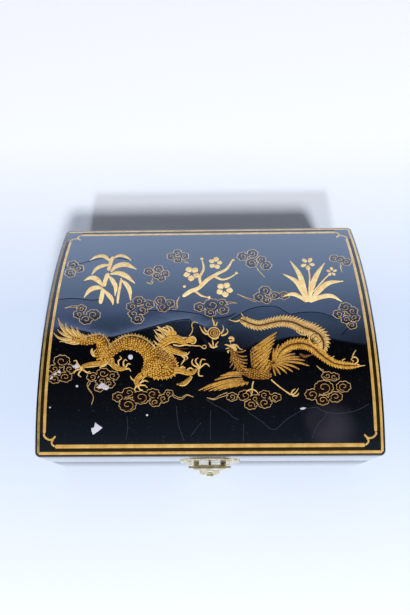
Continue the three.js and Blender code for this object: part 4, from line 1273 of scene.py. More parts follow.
feathers = [feather(root, tip, width) for root, tip, width in WING_FEATHERS]
feathers += [feather(FAN_CENTRE, tip, width, bend) for tip, width, bend in FAN_FEATHERS]
for root, tip, width, bend in LEFT_WING_FEATHERS + HACKLES:
    feathers.append(feather(root, tip, width * SLENDER, bend))
blades = [blade for blade, quill in feathers]
quills = [quill for blade, quill in feathers]
base_plumes, barbs = [], []
for points, barb in PHOENIX_PLUMES:
    base, own_barbs, shaft = plume(points, barb)
    base_plumes.append(base)
    barbs.append(own_barbs)
    quills.append(shaft)
eyes = [ring_line(u, v, radius, 0.9) for u, v, radius in PEACOCK_EYES]
reliefs = [PLUME_LEAF] + PHOENIX_BODY + base_plumes
paint("phoenix_body_relief", [painted(line) for line in reliefs], RELIEF_HEIGHT, body_gold)
edge_lines = [painted([(u, v, width + FEATHER_EDGE) for u, v, width in blade]) for blade in blades]
paint("phoenix_feather_edges", edge_lines, EDGE_HEIGHT, brown_line)
paint("phoenix_feathers", [painted(line) for line in blades + barbs[1]], FEATHER_HEIGHT, scale_gold)
bright_lines = barbs[0] + PHOENIX_HEAD + PHOENIX_LEGS + PLUME_ENDS
paint("phoenix_bright_touches", [painted(line) for line in bright_lines], BARB_HEIGHT, pale_gold)
paint("phoenix_quills", [painted(line) for line in quills + eyes], QUILL_HEIGHT, brown_line)
add_piece(lay_scales("phoenix_scales", PHOENIX_BODY, DOWN_LENGTH), scale_gold, "lid")


# Brush sprigs
# Three bold sprigs in bright gold across the back of the lid: bamboo, plum blossom and an orchid, each laid
# with a loaded brush in a few strokes.
BAMBOO = [
    [(100.4, 304, 3.6), (101.2, 299, 5), (103, 290.6, 5), (103.6, 288.6, 4.2)],
    [(104, 286.6, 4.2), (105.2, 281, 4.8), (107.4, 274.6, 4.8), (108, 272.8, 4)],
    [(108.4, 270.6, 4), (109.8, 265.6, 4.4), (112, 258.6, 4.2), (112.6, 256.4, 2.6)],
    [(117.6, 303.6, 2), (118.2, 296, 3), (120.4, 284, 2.8), (121.2, 278, 1.6)],
    [(110.6, 272, 2), (117, 266, 6.4), (126, 264.6, 6.6), (136.8, 269.4, 0.8)],
    [(110, 274, 2), (118, 273, 6), (126, 276, 6), (135, 283.4, 0.8)],
    [(108.6, 275.6, 1.6), (112.6, 280.6, 5), (115.6, 287, 4.6), (115, 296, 0.8)],
    [(103.4, 286.4, 2), (97, 279.6, 6.2), (91, 277.6, 5.6), (83.8, 280.6, 0.8)],
    [(103, 288.6, 2), (96.6, 287.6, 6), (90, 290, 5.8), (84, 297.6, 0.8)],
    [(104, 290, 1.6), (108.6, 295, 4.8), (112, 299.4, 4.2), (113, 305, 0.8)],
    [(111.4, 262, 1.8), (104.6, 256.6, 5), (97.6, 256.4, 4.8), (89.6, 260.4, 0.8)],
    [(110.6, 264.6, 1.8), (103, 265.6, 5), (96.6, 268.6, 4.6), (91.6, 274.6, 0.8)],
    [(121, 279.6, 1.4), (126.6, 284.6, 5), (129.8, 291, 4.6), (130.6, 300.6, 0.8)],
    [(112.6, 258.6, 1.6), (119, 255.6, 4.2), (125, 256.4, 3.8), (131.6, 260.6, 0.8)],
]
PLUM_BRANCH = [
    [(182.6, 296.6, 4), (190, 291.6, 5.6), (199, 287.6, 4.8), (207.6, 279.6, 5), (217.6, 273.6, 4.2),
     (227, 268.4, 3.4), (233, 259, 1.2)],
    [(201.6, 286, 3.4), (199.6, 277.6, 3), (203.6, 268.6, 2.6), (201.6, 258, 1)],
    [(213.6, 276, 3.2), (222, 279.4, 2.8), (229.6, 277.6, 2.2), (236, 273.6, 1)],
    [(194, 290, 2.8), (201, 295.4, 2.4), (208.6, 297.6, 1)],
]
PLUM_BLOSSOMS = [(191.6, 273.6, 8.4), (224.4, 289.6, 8.6), (215.4, 263, 7.0)]
PLUM_BUDS = [(201.8, 258.6, 3.4), (233, 260, 3.4), (236.4, 273, 3.2), (209, 297.4, 3.2),
             (184.4, 286.4, 3.2)]
ORCHID = [
    [(307, 302, 2.4), (302.4, 291, 6), (295.6, 281, 5.8), (282.6, 273.6, 0.8)],
    [(308, 302, 2.4), (303.6, 287, 6), (299, 273.6, 5.6), (290, 260.6, 0.8)],
    [(309, 302, 2.4), (311.6, 288, 6), (316.6, 275, 5.6), (324.6, 262.6, 0.8)],
    [(310, 302, 2.4), (318.6, 291, 6), (328.6, 283, 5.8), (343.6, 281, 0.8)],
    [(310, 302, 2.4), (321, 297, 5.6), (331.6, 296, 5.2), (342, 301.6, 0.8)],
    [(306.6, 302, 2.2), (299.6, 296.6, 5), (292, 294, 4.6), (282.6, 296.6, 0.8)],
    [(309, 290, 1.6), (309.6, 276, 1.6), (307.6, 266, 1.4)],
    [(313, 292, 1.4), (323.6, 280, 1.6), (330.6, 273, 1.2)],
]
ORCHID_FLOWERS = [(307.6, 263.6, 7.4, 0.2), (331.6, 271.6, 5.4, 0.9)]
PETALS = 5
# A bud is one short touch: how far each point is from its middle and how broad, in shares of its radius.
BUD_TOUCH = [(-0.5, 0.8), (0.0, 1.2), (0.5, 0.8)]
PETAL_SHAPE = [(0.22, 0.35), (0.5, 0.95), (0.8, 1.0), (1.0, 0.4)]
PLUM_PETAL, ORCHID_PETAL = 0.86, 0.62
SPRIG_HEIGHT = 0.16 * MM


def blossom(u, v, radius, turn, width):
    """Five petals round a middle, each one touch of the brush."""
    petals = []
    for number in range(PETALS):
        a = turn + number * 2 * math.pi / PETALS
        x, y = math.cos(a) * radius, RING_FLATNESS * math.sin(a) * radius
        petals.append([(u + x * share, v + y * share, width * size) for share, size in PETAL_SHAPE])
    return petals


sprig_gold = gold_powder("bright_gold_brushwork", "#FFEDB0", "#F0BE70", 4 * MM, 0.16, 0.5, 0.0, 0.4)
sprigs = BAMBOO + PLUM_BRANCH + ORCHID
for number, (u, v, radius) in enumerate(PLUM_BLOSSOMS):
    sprigs += blossom(u, v, radius, 0.4 + number, radius * PLUM_PETAL)
for u, v, radius in PLUM_BUDS:
    sprigs.append([(u + radius * shift, v, radius * broad) for shift, broad in BUD_TOUCH])
for u, v, radius, turn in ORCHID_FLOWERS:
    sprigs += blossom(u, v, radius, turn, radius * ORCHID_PETAL)
paint("gold_brush_sprigs", [painted(line) for line in sprigs], SPRIG_HEIGHT, sprig_gold)


# Wear, and painted highlights on the splits
# Where the lacquer is knocked off, the white ground under it shows. The open splits are thin dark lines. The
# closed splits are thin grey lines, a painted highlight where their raised edges catch the light.
CHIPS = [
    [(128, 356), (129.4, 354.6), (131.6, 354.6), (133, 356.2), (132.8, 358.4), (130.8, 359.8),
     (128.6, 358.8)],
    [(71.6, 366.6), (75, 364.8), (76.8, 362.8), (78.6, 365.4), (78.8, 368), (76, 368.8), (73.6, 367.6)],
    [(96, 387.4), (99.4, 384.6), (101.6, 382.2), (104.4, 383.6), (106.4, 385.6), (109.4, 385.4),
     (108.6, 388.8), (106, 390.2), (102.4, 388.6), (99, 388.4)],
    [(57, 371.4), (59, 369.8), (60.8, 371.2), (60.4, 373.4), (58.4, 373)],
    [(53.4, 374.4), (55.6, 372), (57.2, 372.8), (55.8, 375), (54, 375.8)],
    [(49.8, 378.6), (51.6, 376), (53.2, 375.6), (52.6, 377.8), (50.8, 379.8)],
    [(76, 385.2), (77.6, 384.8), (78.4, 386.4), (77, 387.4), (75.6, 386.6)],
    [(91, 428.4), (94.2, 427), (95, 422.2), (98, 424.6), (102.6, 427.6), (98.6, 431), (93, 434.8),
     (91.6, 431.6)],
    [(146, 414.4), (147.6, 414), (148.4, 415.2), (147.2, 416.2), (146, 415.6)],
    [(299.6, 408.4), (302.6, 407.2), (306.4, 407.6), (304, 409.4), (301, 409.6)],
    [(48.8, 407.6), (50, 406.4), (51, 407.2), (50.4, 408.4)],
]
CRUMBS_PER_MM, CRUMB_DEPTH = 0.9, 0.2 * MM
CHIP_LIFT, CHIP_CROWN = 0.05 * MM, 0.02 * MM
OPEN_WIDTH, OPEN_HEIGHT, PALE_LINE_WIDTH, PALE_LINE_HEIGHT = 1.0, 0.02 * MM, 0.4, 0.03 * MM
gesso, tree, shader = new_material("chipped_white_ground", Base_Color=linear("#B9B7C0"), Roughness=0.9)
place = add_node(tree, "ShaderNodeTexCoord").outputs["Object"]
crumbs = add_node(tree, "ShaderNodeTexNoise", {"Vector": place, "Scale": CRUMBS_PER_MM / MM, "Detail": 4.0})
crumble = add_node(tree, "ShaderNodeBump", {"Height": crumbs.outputs["Fac"], "Distance": CRUMB_DEPTH})
tree.links.new(crumble.outputs["Normal"], shader.inputs["Normal"])
add_piece(patch_mesh("lacquer_chips", CHIPS, CHIP_LIFT, CHIP_CROWN), gesso, "lid")

gap, _, _ = new_material(
    "open_split", Base_Color=linear("#040507"), Roughness=0.8, Specular_IOR_Level=0.15
)
open_lines = [painted(line, OPEN_WIDTH) for *_, line in OPEN_SPLITS]
paint("lacquer_splits", open_lines, OPEN_HEIGHT, gap)
# Painted highlight: pale grey lines where the raised edges of the closed splits catch the light.
split_highlight, _, _ = new_material(
    "dust_in_closed_split", Base_Color=linear("#2C2F36"), Roughness=0.7, Coat_Weight=0.3
)
split_highlight_lines = [painted(line, PALE_LINE_WIDTH) for *_, line in PALE_LINED_SPLITS]
paint("dusty_splits", split_highlight_lines, PALE_LINE_HEIGHT, split_highlight)


# Hinges
# Two brass butt hinges on the back. Each has two leaves, five rolled knuckles and a steel pin peened over at
# both ends, and is held by four slotted raised-head screws.
BRASS_EDGE = 0.22 * MM
FILM_PER_MM, BRASS_GRAIN_PER_MM, BRASS_GRAIN = 0.17, 3.2, 0.02 * MM
RUST_PER_MM = 0.42


def worn_brass():
    """Brass sheet whose clear lacquer has worn off in places, where it is duller and browner."""
    material, tree, shader = new_material("lacquered_brass_worn", Metallic=0.85)
    place = add_node(tree, "ShaderNodeTexCoord").outputs["Object"]
    film = add_node(
        tree,
        "ShaderNodeTexNoise",
        {"Vector": place, "Scale": FILM_PER_MM / MM, "Detail": 6.0, "Roughness": 0.65},
    )
    dulled = add_node(
        tree, "ShaderNodeMapRange", {"Value": film.outputs["Fac"], "From Min": 0.42, "From Max": 0.66}
    )
    colour = add_node(
        tree,
        "ShaderNodeMix",
        {0: dulled.outputs["Result"], 6: linear("#F0E8CE"), 7: linear("#BEAC80")},
        data_type="RGBA",
    )
    tree.links.new(colour.outputs[2], shader.inputs["Base Color"])
    gloss = add_node(
        tree,
        "ShaderNodeMapRange",
        {"Value": film.outputs["Fac"], "From Min": 0.35, "From Max": 0.7, "To Min": 0.14, "To Max": 0.38},
    )
    tree.links.new(gloss.outputs["Result"], shader.inputs["Roughness"])
    grain = add_node(
        tree, "ShaderNodeTexNoise", {"Vector": place, "Scale": BRASS_GRAIN_PER_MM / MM, "Detail": 2.0}
    )
    bump = add_node(
        tree, "ShaderNodeBump", {"Height": grain.outputs["Fac"], "Distance": BRASS_GRAIN, "Strength": 0.6}
    )
    tree.links.new(bump.outputs["Normal"], shader.inputs["Normal"])
    return material


def steel_wire():
    """Drawn steel, grey with a little brown rust."""
    material, tree, shader = new_material("drawn_steel_wire", Metallic=1.0)
    place = add_node(tree, "ShaderNodeTexCoord").outputs["Object"]
    rust = add_node(tree, "ShaderNodeTexNoise", {"Vector": place, "Scale": RUST_PER_MM / MM, "Detail": 5.0})
    colour = add_node(
        tree,
        "ShaderNodeMix",
        {0: rust.outputs["Fac"], 6: linear("#B4B2AE"), 7: linear("#7C6E60")},
        data_type="RGBA",
    )
    tree.links.new(colour.outputs[2], shader.inputs["Base Color"])
    gloss = add_node(tree, "ShaderNodeMapRange", {"Value": rust.outputs["Fac"], "To Min": 0.2, "To Max": 0.6})
    tree.links.new(gloss.outputs["Result"], shader.inputs["Roughness"])
    return material


def finish_mesh(bm, name, sharp=35):
    """A mesh from finished bmesh data, smooth except at its sharp edges."""
    bmesh.ops.recalc_face_normals(bm, faces=bm.faces)
    mesh = bpy.data.meshes.new(name)
    bm.to_mesh(mesh)
    bm.free()
    mesh.shade_smooth()
    mesh.set_sharp_from_angle(angle=math.radians(sharp))
    return mesh


def softened(node, name, width, segments=2):
    """A copy of a CAD node's mesh, with its doubles merged and its sharp edges rounded over."""
    bm = bmesh.new()
    bm.from_mesh(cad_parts[node].data)
    bmesh.ops.remove_doubles(bm, verts=bm.verts, dist=0.002 * MM)
    bmesh.ops.dissolve_limit(bm, angle_limit=math.radians(0.5), verts=bm.verts, edges=bm.edges)
    sharp = [e for e in bm.edges if len(e.link_faces) == 2 and e.calc_face_angle() > math.radians(40)]
    bmesh.ops.bevel(
        bm,
        geom=sharp,
        offset=width,
        offset_type="OFFSET",
        segments=segments,
        profile=0.5,
        affect="EDGES",
        clamp_overlap=True,
    )
    return finish_mesh(bm, name)


def turn_profile(bm, profile, steps):
    """Adds a solid turned round the z axis, from radii and heights that start and end on the axis."""
    around = np.linspace(0, 2 * math.pi, steps, endpoint=False)
    rings = []
    for radius, level in profile:
        spots = [(radius * math.cos(a), radius * math.sin(a), level) for a in (around if radius else [0])]
        rings.append([bm.verts.new(spot) for spot in spots])
    for low, high in zip(rings, rings[1:]):
        for i in range(steps):
            j = (i + 1) % steps
            corners = [low[i % len(low)], low[j % len(low)], high[j % len(high)], high[i % len(high)]]
            bm.faces.new(list(dict.fromkeys(corners)))


def turned(name, profile, steps=24):
    """A turned solid as a finished mesh."""
    bm = bmesh.new()
    turn_profile(bm, profile, steps)
    return finish_mesh(bm, name)


def close_back(bm, level):
    """Carries the open rim of a surface back to a flat level and closes it there."""
    rim = [edge for edge in bm.edges if len(edge.link_faces) == 1]
    made = bmesh.ops.extrude_edge_only(bm, edges=rim)["geom"]
    for item in made:
        if isinstance(item, bmesh.types.BMVert):
            item.co.z = level
    loop = [item for item in made if isinstance(item, bmesh.types.BMEdge) and len(item.link_faces) == 1]
    bmesh.ops.edgeloop_fill(bm, edges=loop)


# A peened pin head, in shares of its radius: how wide it is and how far from its face.
PEENED_HEAD = [(0, 0), (0.6, 0.06), (0.9, 0.24), (1, 0.5), (1, 0.7)]
brass = worn_brass()
steel = steel_wire()
for side in ("left", "right"):
    for body, leaf in (("case", "base"), ("lid", "lid")):
        node = f"hinge_{side}_{leaf}_leaf"
        add_piece(softened(node, node + "_brass", BRASS_EDGE), brass, body, [node])
    low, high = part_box(f"hinge_{side}_pin")
    length, head = high.x - low.x, (high.z - low.z) / 2
    wire = 0.6 * head
    end = [(share * head, level * head) for share, level in PEENED_HEAD] + [(wire, 0.95 * head)]
    pin_profile = end + [(radius, length - level) for radius, level in reversed(end)]
    pin_mesh = turned(f"hinge_{side}_pin_steel", pin_profile)
    along_x = Matrix.Rotation(math.pi / 2, 4, "Y")
    pin_mesh.transform(Matrix.Translation((low.x, (low.y + high.y) / 2, (low.z + high.z) / 2)) @ along_x)
    add_piece(pin_mesh, steel, "case", [f"hinge_{side}_pin"])


HEAD_ROWS = (-1.0, -0.93, -0.75, -0.45)
SHANK = [(0, -1), (0.25, -0.8), (0.45, -0.6)]
HEAD_SINK, SHANK_TOP, SHANK_RADIUS = 0.15 * MM, 0.1 * MM, 0.45


def screw_shape(radius, height, length, slot_width, slot_depth):
    """A raised round head with a slot across it, on a pointed shank, pointing up the z axis."""
    bm = bmesh.new()
    dome = (radius**2 + height**2) / (2 * height)
    rows = []
    slot_edges = (-slot_width, -slot_width, slot_width, slot_width)
    for y in (*HEAD_ROWS, *slot_edges, *(-row for row in reversed(HEAD_ROWS))):
        lowered = len(rows) in (5, 6)
        reach = math.sqrt(max(0.0, 1 - y * y))
        row = []
        for x in np.linspace(-reach, reach, 13):
            out = radius * min(1.0, math.hypot(x, y))
            level = math.sqrt(dome**2 - out**2) - dome + height
            row.append(bm.verts.new((radius * x, radius * y, level - (slot_depth if lowered else 0))))
        rows.append(row)
    for low, high in zip(rows, rows[1:]):
        for i in range(12):
            bm.faces.new((low[i], low[i + 1], high[i + 1], high[i]))
    bmesh.ops.remove_doubles(bm, verts=bm.verts, dist=0.001 * MM)
    close_back(bm, -HEAD_SINK)
    shank = [(share * radius, level * length) for share, level in SHANK]
    turn_profile(bm, shank + [(SHANK_RADIUS * radius, -SHANK_TOP), (0, -SHANK_TOP)], 12)
    return finish_mesh(bm, "screw_shape")


SCREW_TURNS = [0.4, 1.3, -0.5, 2.2, 0.9, -1.1, 1.8, 0.1]
LEAF_THICKNESS = 1 * MM
SLOT_SHARE, SLOT_DEPTH = 0.13, 0.4 * MM
for body, leaf in (("case", "base"), ("lid", "lid")):
    nodes = [f"hinge_{leaf}_screw_{number}" for number in (1, 2, 3, 4)]
    boxes = [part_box(node) for node in nodes]
    radius = (boxes[0][1].x - boxes[0][0].x) / 2
    face = half_depth + LEAF_THICKNESS
    height = boxes[0][1].y - face
    length = face - boxes[0][0].y
    spots = [((low.x + high.x) / 2, face, (low.z + high.z) / 2) for low, high in boxes]
    turns = [(-math.pi / 2, SCREW_TURNS[number if leaf == "base" else number + 4], 0) for number in range(4)]
    shape = screw_shape(radius, height, length, SLOT_SHARE, SLOT_DEPTH)
    mesh = set_out(f"hinge_{leaf}_screws", shape, spots, turns, [1.0] * 4, 1.0, 0.0, brass)
    add_piece(mesh, brass, body, nodes)


# Clasp plate
# A round plate of polished brass sheet, cut in two at the seam. The halves lie flat on the front, with a line
# incised round the rim, and each is held by two round-headed brass nails.
PLATE_PROFILE = [(0.0, 1.0), (5.0, 1.0), (10.0, 1.0), (15.0, 1.0), (20.0, 1.0), (22.6, 1.0), (22.9, 0.86),
                 (23.2, 0.86), (23.5, 1.0), (24.8, 1.0), (25.4, 0.93), (25.8, 0.74), (26.0, 0.4)]
PLATE_STEPS = 64
ON_FRONT = Matrix(((1, 0, 0, 0), (0, 0, -1, -half_depth), (0, 1, 0, 0), (0, 0, 0, 1)))


def half_plate(name, low, high, side):
    """Half a round plate, whose straight edge is at the seam. Its front is drawn in rings from the middle."""
    straight = low.z if side > 0 else high.z
    rise = (high.z - low.z) / (PLATE_PROFILE[-1][0] * MM)
    bm = bmesh.new()
    rows = []
    for radius, level in PLATE_PROFILE:
        angles = np.linspace(0, math.pi, PLATE_STEPS + 1) if radius else [0.0]
        spots = [(radius * MM * math.cos(a), radius * MM * math.sin(a)) for a in angles]
        rows.append([bm.verts.new((x, straight + side * rise * y, level * MM)) for x, y in spots])
    for low_row, high_row in zip(rows, rows[1:]):
        for i in range(PLATE_STEPS):
            inner = [low_row[min(i, len(low_row) - 1)], low_row[min(i + 1, len(low_row) - 1)]]
            bm.faces.new(list(dict.fromkeys(inner + [high_row[i + 1], high_row[i]])))
    close_back(bm, 0.0)
    mesh = finish_mesh(bm, name)
    mesh.transform(ON_FRONT)
    return mesh


# Radii and heights in millimetres, from the point of the nail to the top of its head.
NAIL_PROFILE = [(0, -7.0), (0.3, -6.6), (0.8, -5.6), (0.8, 0), (1.62, 0), (1.7, 0.1), (1.64, 0.34),
                (1.42, 0.56), (1.05, 0.74), (0.55, 0.86), (0, 0.9)]
for body, half, side in (("case", "lower", -1), ("lid", "upper", 1)):
    node = f"clasp_{half}_plate"
    add_piece(half_plate(f"{half}_brass_plate", *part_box(node), side), brass, body, [node])
    nodes = [f"{half}_plate_nail_{number}" for number in (1, 2)]
    spots = []
    for nail in nodes:
        low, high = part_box(nail)
        spots.append(((low.x + high.x) / 2, -half_depth - PLATE_PROFILE[0][1] * MM, (low.z + high.z) / 2))
    nail_shape = turned("nail_shape", [(radius * MM, level * MM) for radius, level in NAIL_PROFILE], 20)
    turns = [(math.pi / 2, 0, 0)] * 2
    mesh = set_out(f"{half}_plate_nails", nail_shape, spots, turns, [1.0] * 2, 1.0, 0.0, brass)
    add_piece(mesh, brass, body, nodes)


# Ears, staple and hasp
# The ears and the staple are brass strip bent into standing loops, with their legs clenched inside. The hasp
# is a slotted brass plate rolled round a brass pin, with a finger tab at its foot.
for node, name in (("clasp_left_ear", "left_brass_ear"), ("clasp_right_ear", "right_brass_ear")):
    add_piece(softened(node, name, BRASS_EDGE, 3), brass, "lid", [node])
add_piece(softened("staple", "brass_staple", BRASS_EDGE, 3), brass, "case", ["staple"])
add_piece(softened("hasp", "brass_hasp", BRASS_EDGE, 2), brass, "hasp", ["hasp"])
low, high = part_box("hasp_pin")
length, radius = high.x - low.x, (high.z - low.z) / 2
end = [(0, 0), (0.5 * radius, 0.1 * radius), (0.85 * radius, 0.35 * radius), (radius, 0.8 * radius)]
hasp_pin_mesh = turned("brass_hasp_pin", end + [(r, length - level) for r, level in reversed(end)])
hasp_pin_mesh.transform(Matrix.Translation((low.x, (low.y + high.y) / 2, (low.z + high.z) / 2)) @ along_x)
add_piece(hasp_pin_mesh, brass, "lid", ["hasp_pin"])


# Satin cards
# Thin cards covered in red satin line the walls of the case and the lid and the underside of the vault. The
# satin is drawn over the edges and glued behind. Its long warp threads give soft streaks of sheen.
CARD_STEP = 4 * MM
CARD_ROUND = 0.7 * MM
SLACK_PER_MM = 0.06
THREADS_PER_MM, ALONG_PER_MM, THREAD_DEPTH, SHADES_PER_MM = 1.9, 0.04, 0.08 * MM, 0.026
WALL_RIPPLE, PANEL_RIPPLE = 0.25 * MM, 0.3 * MM


def red_satin(name, streaks):
    """Satin whose threads, finer than a pixel, are drawn about 0.5 mm wide so that they show."""
    material, tree, shader = new_material(
        name,
        Sheen_Weight=0.35,
        Sheen_Roughness=0.3,
        Sheen_Tint=linear("#F0A0A0"),
        Specular_IOR_Level=0.6,
    )
    place = add_node(tree, "ShaderNodeTexCoord").outputs["Object"]
    drawn = add_node(tree, "ShaderNodeMapping", {"Vector": place, "Scale": streaks}).outputs["Vector"]
    threads = add_node(tree, "ShaderNodeTexNoise", {"Vector": drawn, "Scale": 1 / MM, "Detail": 3.0})
    soft = add_node(tree, "ShaderNodeTexNoise", {"Vector": place, "Scale": SHADES_PER_MM / MM, "Detail": 3.0})
    shade = add_node(
        tree, "ShaderNodeMath", {0: threads.outputs["Fac"], 1: soft.outputs["Fac"]}, operation="MULTIPLY"
    )
    ranged = add_node(
        tree, "ShaderNodeMapRange", {"Value": shade.outputs["Value"], "From Min": 0.12, "From Max": 0.4}
    )
    colour = add_node(
        tree,
        "ShaderNodeMix",
        {0: ranged.outputs["Result"], 6: linear("#7A0D18"), 7: linear("#B01E2B")},
        data_type="RGBA",
    )
    tree.links.new(colour.outputs[2], shader.inputs["Base Color"])
    gloss = add_node(
        tree, "ShaderNodeMapRange", {"Value": threads.outputs["Fac"], "To Min": 0.24, "To Max": 0.5}
    )
    tree.links.new(gloss.outputs["Result"], shader.inputs["Roughness"])
    bump = add_node(
        tree, "ShaderNodeBump", {"Height": threads.outputs["Fac"], "Distance": THREAD_DEPTH, "Strength": 0.5}
    )
    tree.links.new(bump.outputs["Normal"], shader.inputs["Normal"])
    return material


def spaced(low, high, step, edge):
    """Places from low to high, close together at both edges."""
    fine = [edge * share for share in (0, 0.13, 0.5)]
    middle = list(np.linspace(low + edge, high - edge, max(2, round((high - low) / step))))
    return [low + f for f in fine] + middle + [high - f for f in reversed(fine)]


def card_mesh(name, low, high, axis, facing, ripple):
    """A covered card in a CAD box. Its padded face looks along facing times the axis."""
    flat = [i for i in range(3) if i != axis]
    thickness = high[axis] - low[axis]
    bm = bmesh.new()
    rows = []
    for b in spaced(low[flat[1]], high[flat[1]], CARD_STEP, CARD_ROUND):
        row = []
        for a in spaced(low[flat[0]], high[flat[0]], CARD_STEP, CARD_ROUND):
            edge = min(a - low[flat[0]], high[flat[0]] - a, b - low[flat[1]], high[flat[1]] - b)
            place = (a * SLACK_PER_MM / MM, b * SLACK_PER_MM / MM, axis + facing * 3.0)
            slack = noise.noise(Vector(place))
            sunk = ripple * (0.5 + 0.5 * slack) * min(1, edge / CARD_ROUND)
            row.append(bm.verts.new((a, b, thickness - round_off(edge, CARD_ROUND) - sunk)))
        rows.append(row)
    for low_row, high_row in zip(rows, rows[1:]):
        for i in range(len(low_row) - 1):
            bm.faces.new((low_row[i], low_row[i + 1], high_row[i + 1], high_row[i]))
    close_back(bm, 0.0)
    back = low[axis] if facing > 0 else high[axis]
    for vertex in bm.verts:
        place = [0.0, 0.0, 0.0]
        place[flat[0]], place[flat[1]], place[axis] = vertex.co.x, vertex.co.y, back + facing * vertex.co.z
        vertex.co = place
    return finish_mesh(bm, name)


wall_satin = red_satin("red_satin_on_walls", (THREADS_PER_MM, THREADS_PER_MM, ALONG_PER_MM))
flat_satin = red_satin("red_satin_laid_flat", (THREADS_PER_MM, ALONG_PER_MM, ALONG_PER_MM))
for body, start in (("case", "lining_"), ("lid", "lid_lining_")):
    for side, axis, facing in (("front", 1, 1), ("back", 1, -1), ("left", 0, 1), ("right", 0, -1)):
        node = start + side
        card = card_mesh(f"satin_{body}_{side}", *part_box(node), axis, facing, WALL_RIPPLE)
        add_piece(card, wall_satin, body, [node])
panel_mesh = card_mesh("satin_lid_panel", *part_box("lid_inner_panel"), 2, -1, PANEL_RIPPLE)
add_piece(panel_mesh, flat_satin, "lid", ["lid_inner_panel"])


# Floor pad
# A card with thin wadding under red satin, glued down on the bottom board. The satin is held at the edges and
# is cut a little slack, so the wadding swells it and it puckers.
PAD_STEP, PAD_SLACK, PAD_CAP = 4.5 * MM, 0.035, 1.7 * MM
PAD_PRESSURE, PAD_EDGE, PAD_HELD, PAD_FRAMES = 4.0, 1.2 * MM, 0.3 * MM, 20
pad_low, pad_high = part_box("lining_floor")
pad_start = pad_high.z - pad_low.z - PAD_CAP
pad_bm = bmesh.new()
pad_rows = []
for y in spaced(pad_low.y, pad_high.y, PAD_STEP, PAD_EDGE):
    pad_row = []
    for x in spaced(pad_low.x, pad_high.x, PAD_STEP, PAD_EDGE):
        edge = min(x - pad_low.x, pad_high.x - x, y - pad_low.y, pad_high.y - y)
        pad_row.append(pad_bm.verts.new((x, y, pad_low.z + pad_start - round_off(edge, PAD_EDGE))))
    pad_rows.append(pad_row)
for low_row, high_row in zip(pad_rows, pad_rows[1:]):
    for i in range(len(low_row) - 1):
        pad_bm.faces.new((low_row[i], low_row[i + 1], high_row[i + 1], high_row[i]))
close_back(pad_bm, pad_low.z)
pad_mesh = finish_mesh(pad_bm, "satin_floor_pad", 80)
slack_pad = bpy.data.objects.new("slack_pad", pad_mesh)
scene.collection.objects.link(slack_pad)
held = slack_pad.vertex_groups.new(name="held")
held.add([v.index for v in pad_mesh.vertices if v.co.z < pad_low.z + pad_start - PAD_HELD], 1.0, "ADD")
cloth = slack_pad.modifiers.new("satin", "CLOTH")
cloth.settings.quality = 5
cloth.settings.use_pressure = True
cloth.settings.uniform_pressure_force = PAD_PRESSURE
cloth.settings.shrink_min = -PAD_SLACK
cloth.settings.vertex_group_mass = "held"
cloth.settings.effector_weights.gravity = 0
cloth.collision_settings.use_collision = False
for number in range(1, PAD_FRAMES + 1):
    scene.frame_set(number)
swollen = bpy.data.meshes.new_from_object(slack_pad.evaluated_get(bpy.context.evaluated_depsgraph_get()))
for before, after in zip(pad_mesh.vertices, swollen.vertices):
    move = after.co - before.co
    place = before.co + move * min(1.0, PAD_CAP / max(move.length, 1e-9))
    before.co = [min(max(place[i], pad_low[i]), pad_high[i]) for i in range(3)]
bpy.data.objects.remove(slack_pad)
bpy.data.meshes.remove(swollen)
scene.frame_set(1)
pad = add_piece(pad_mesh, flat_satin, "case", ["lining_floor"])
pad_smooth = pad.modifiers.new("drape", "SUBSURF")
pad_smooth.levels = pad_smooth.render_levels = 1


# Mirror
# Silvered glass with a bevel ground round its edge, held against the panel under the vault by the frame.
MIRROR_BEVEL = 9 * MM
RIM_THICKNESS, BEVEL_LIP, LIP_DROP = 1.6 * MM, 0.4 * MM, 0.06 * MM
BLOOM_PER_MM = 0.022
mirror_low, mirror_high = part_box("mirror")
mirror_thickness = mirror_high.z - mirror_low.z
mirror_bm = bmesh.new()
mirror_rings = []
bevel_steps = [
    (0.0, RIM_THICKNESS),
    (MIRROR_BEVEL, mirror_thickness - LIP_DROP),
    (MIRROR_BEVEL + BEVEL_LIP, mirror_thickness),
]
for inset, level in bevel_steps:
    x, y = mirror_high.x - inset, mirror_high.y - inset
    corners = ((-x, -y), (x, -y), (x, y), (-x, y))
    mirror_rings.append([mirror_bm.verts.new((*corner, mirror_high.z - level)) for corner in corners])
for outer, inner in zip(mirror_rings, mirror_rings[1:]):
    for i in range(4):
        j = (i + 1) % 4
        mirror_bm.faces.new((outer[i], outer[j], inner[j], inner[i]))
mirror_bm.faces.new(mirror_rings[-1])
close_back(mirror_bm, mirror_high.z)
silvered, tree, shader = new_material("silvered_glass", Metallic=1.0, Base_Color=linear("#E4E9EA"))
place = add_node(tree, "ShaderNodeTexCoord").outputs["Object"]
bloom = add_node(tree, "ShaderNodeTexNoise", {"Vector": place, "Scale": BLOOM_PER_MM / MM, "Detail": 7.0})
hazy = add_node(
    tree,
    "ShaderNodeMapRange",
    {"Value": bloom.outputs["Fac"], "From Min": 0.5, "From Max": 0.8, "To Min": 0.01, "To Max": 0.12},
)
tree.links.new(hazy.outputs["Result"], shader.inputs["Roughness"])
add_piece(finish_mesh(mirror_bm, "bevelled_mirror", 1), silvered, "lid", ["mirror"])


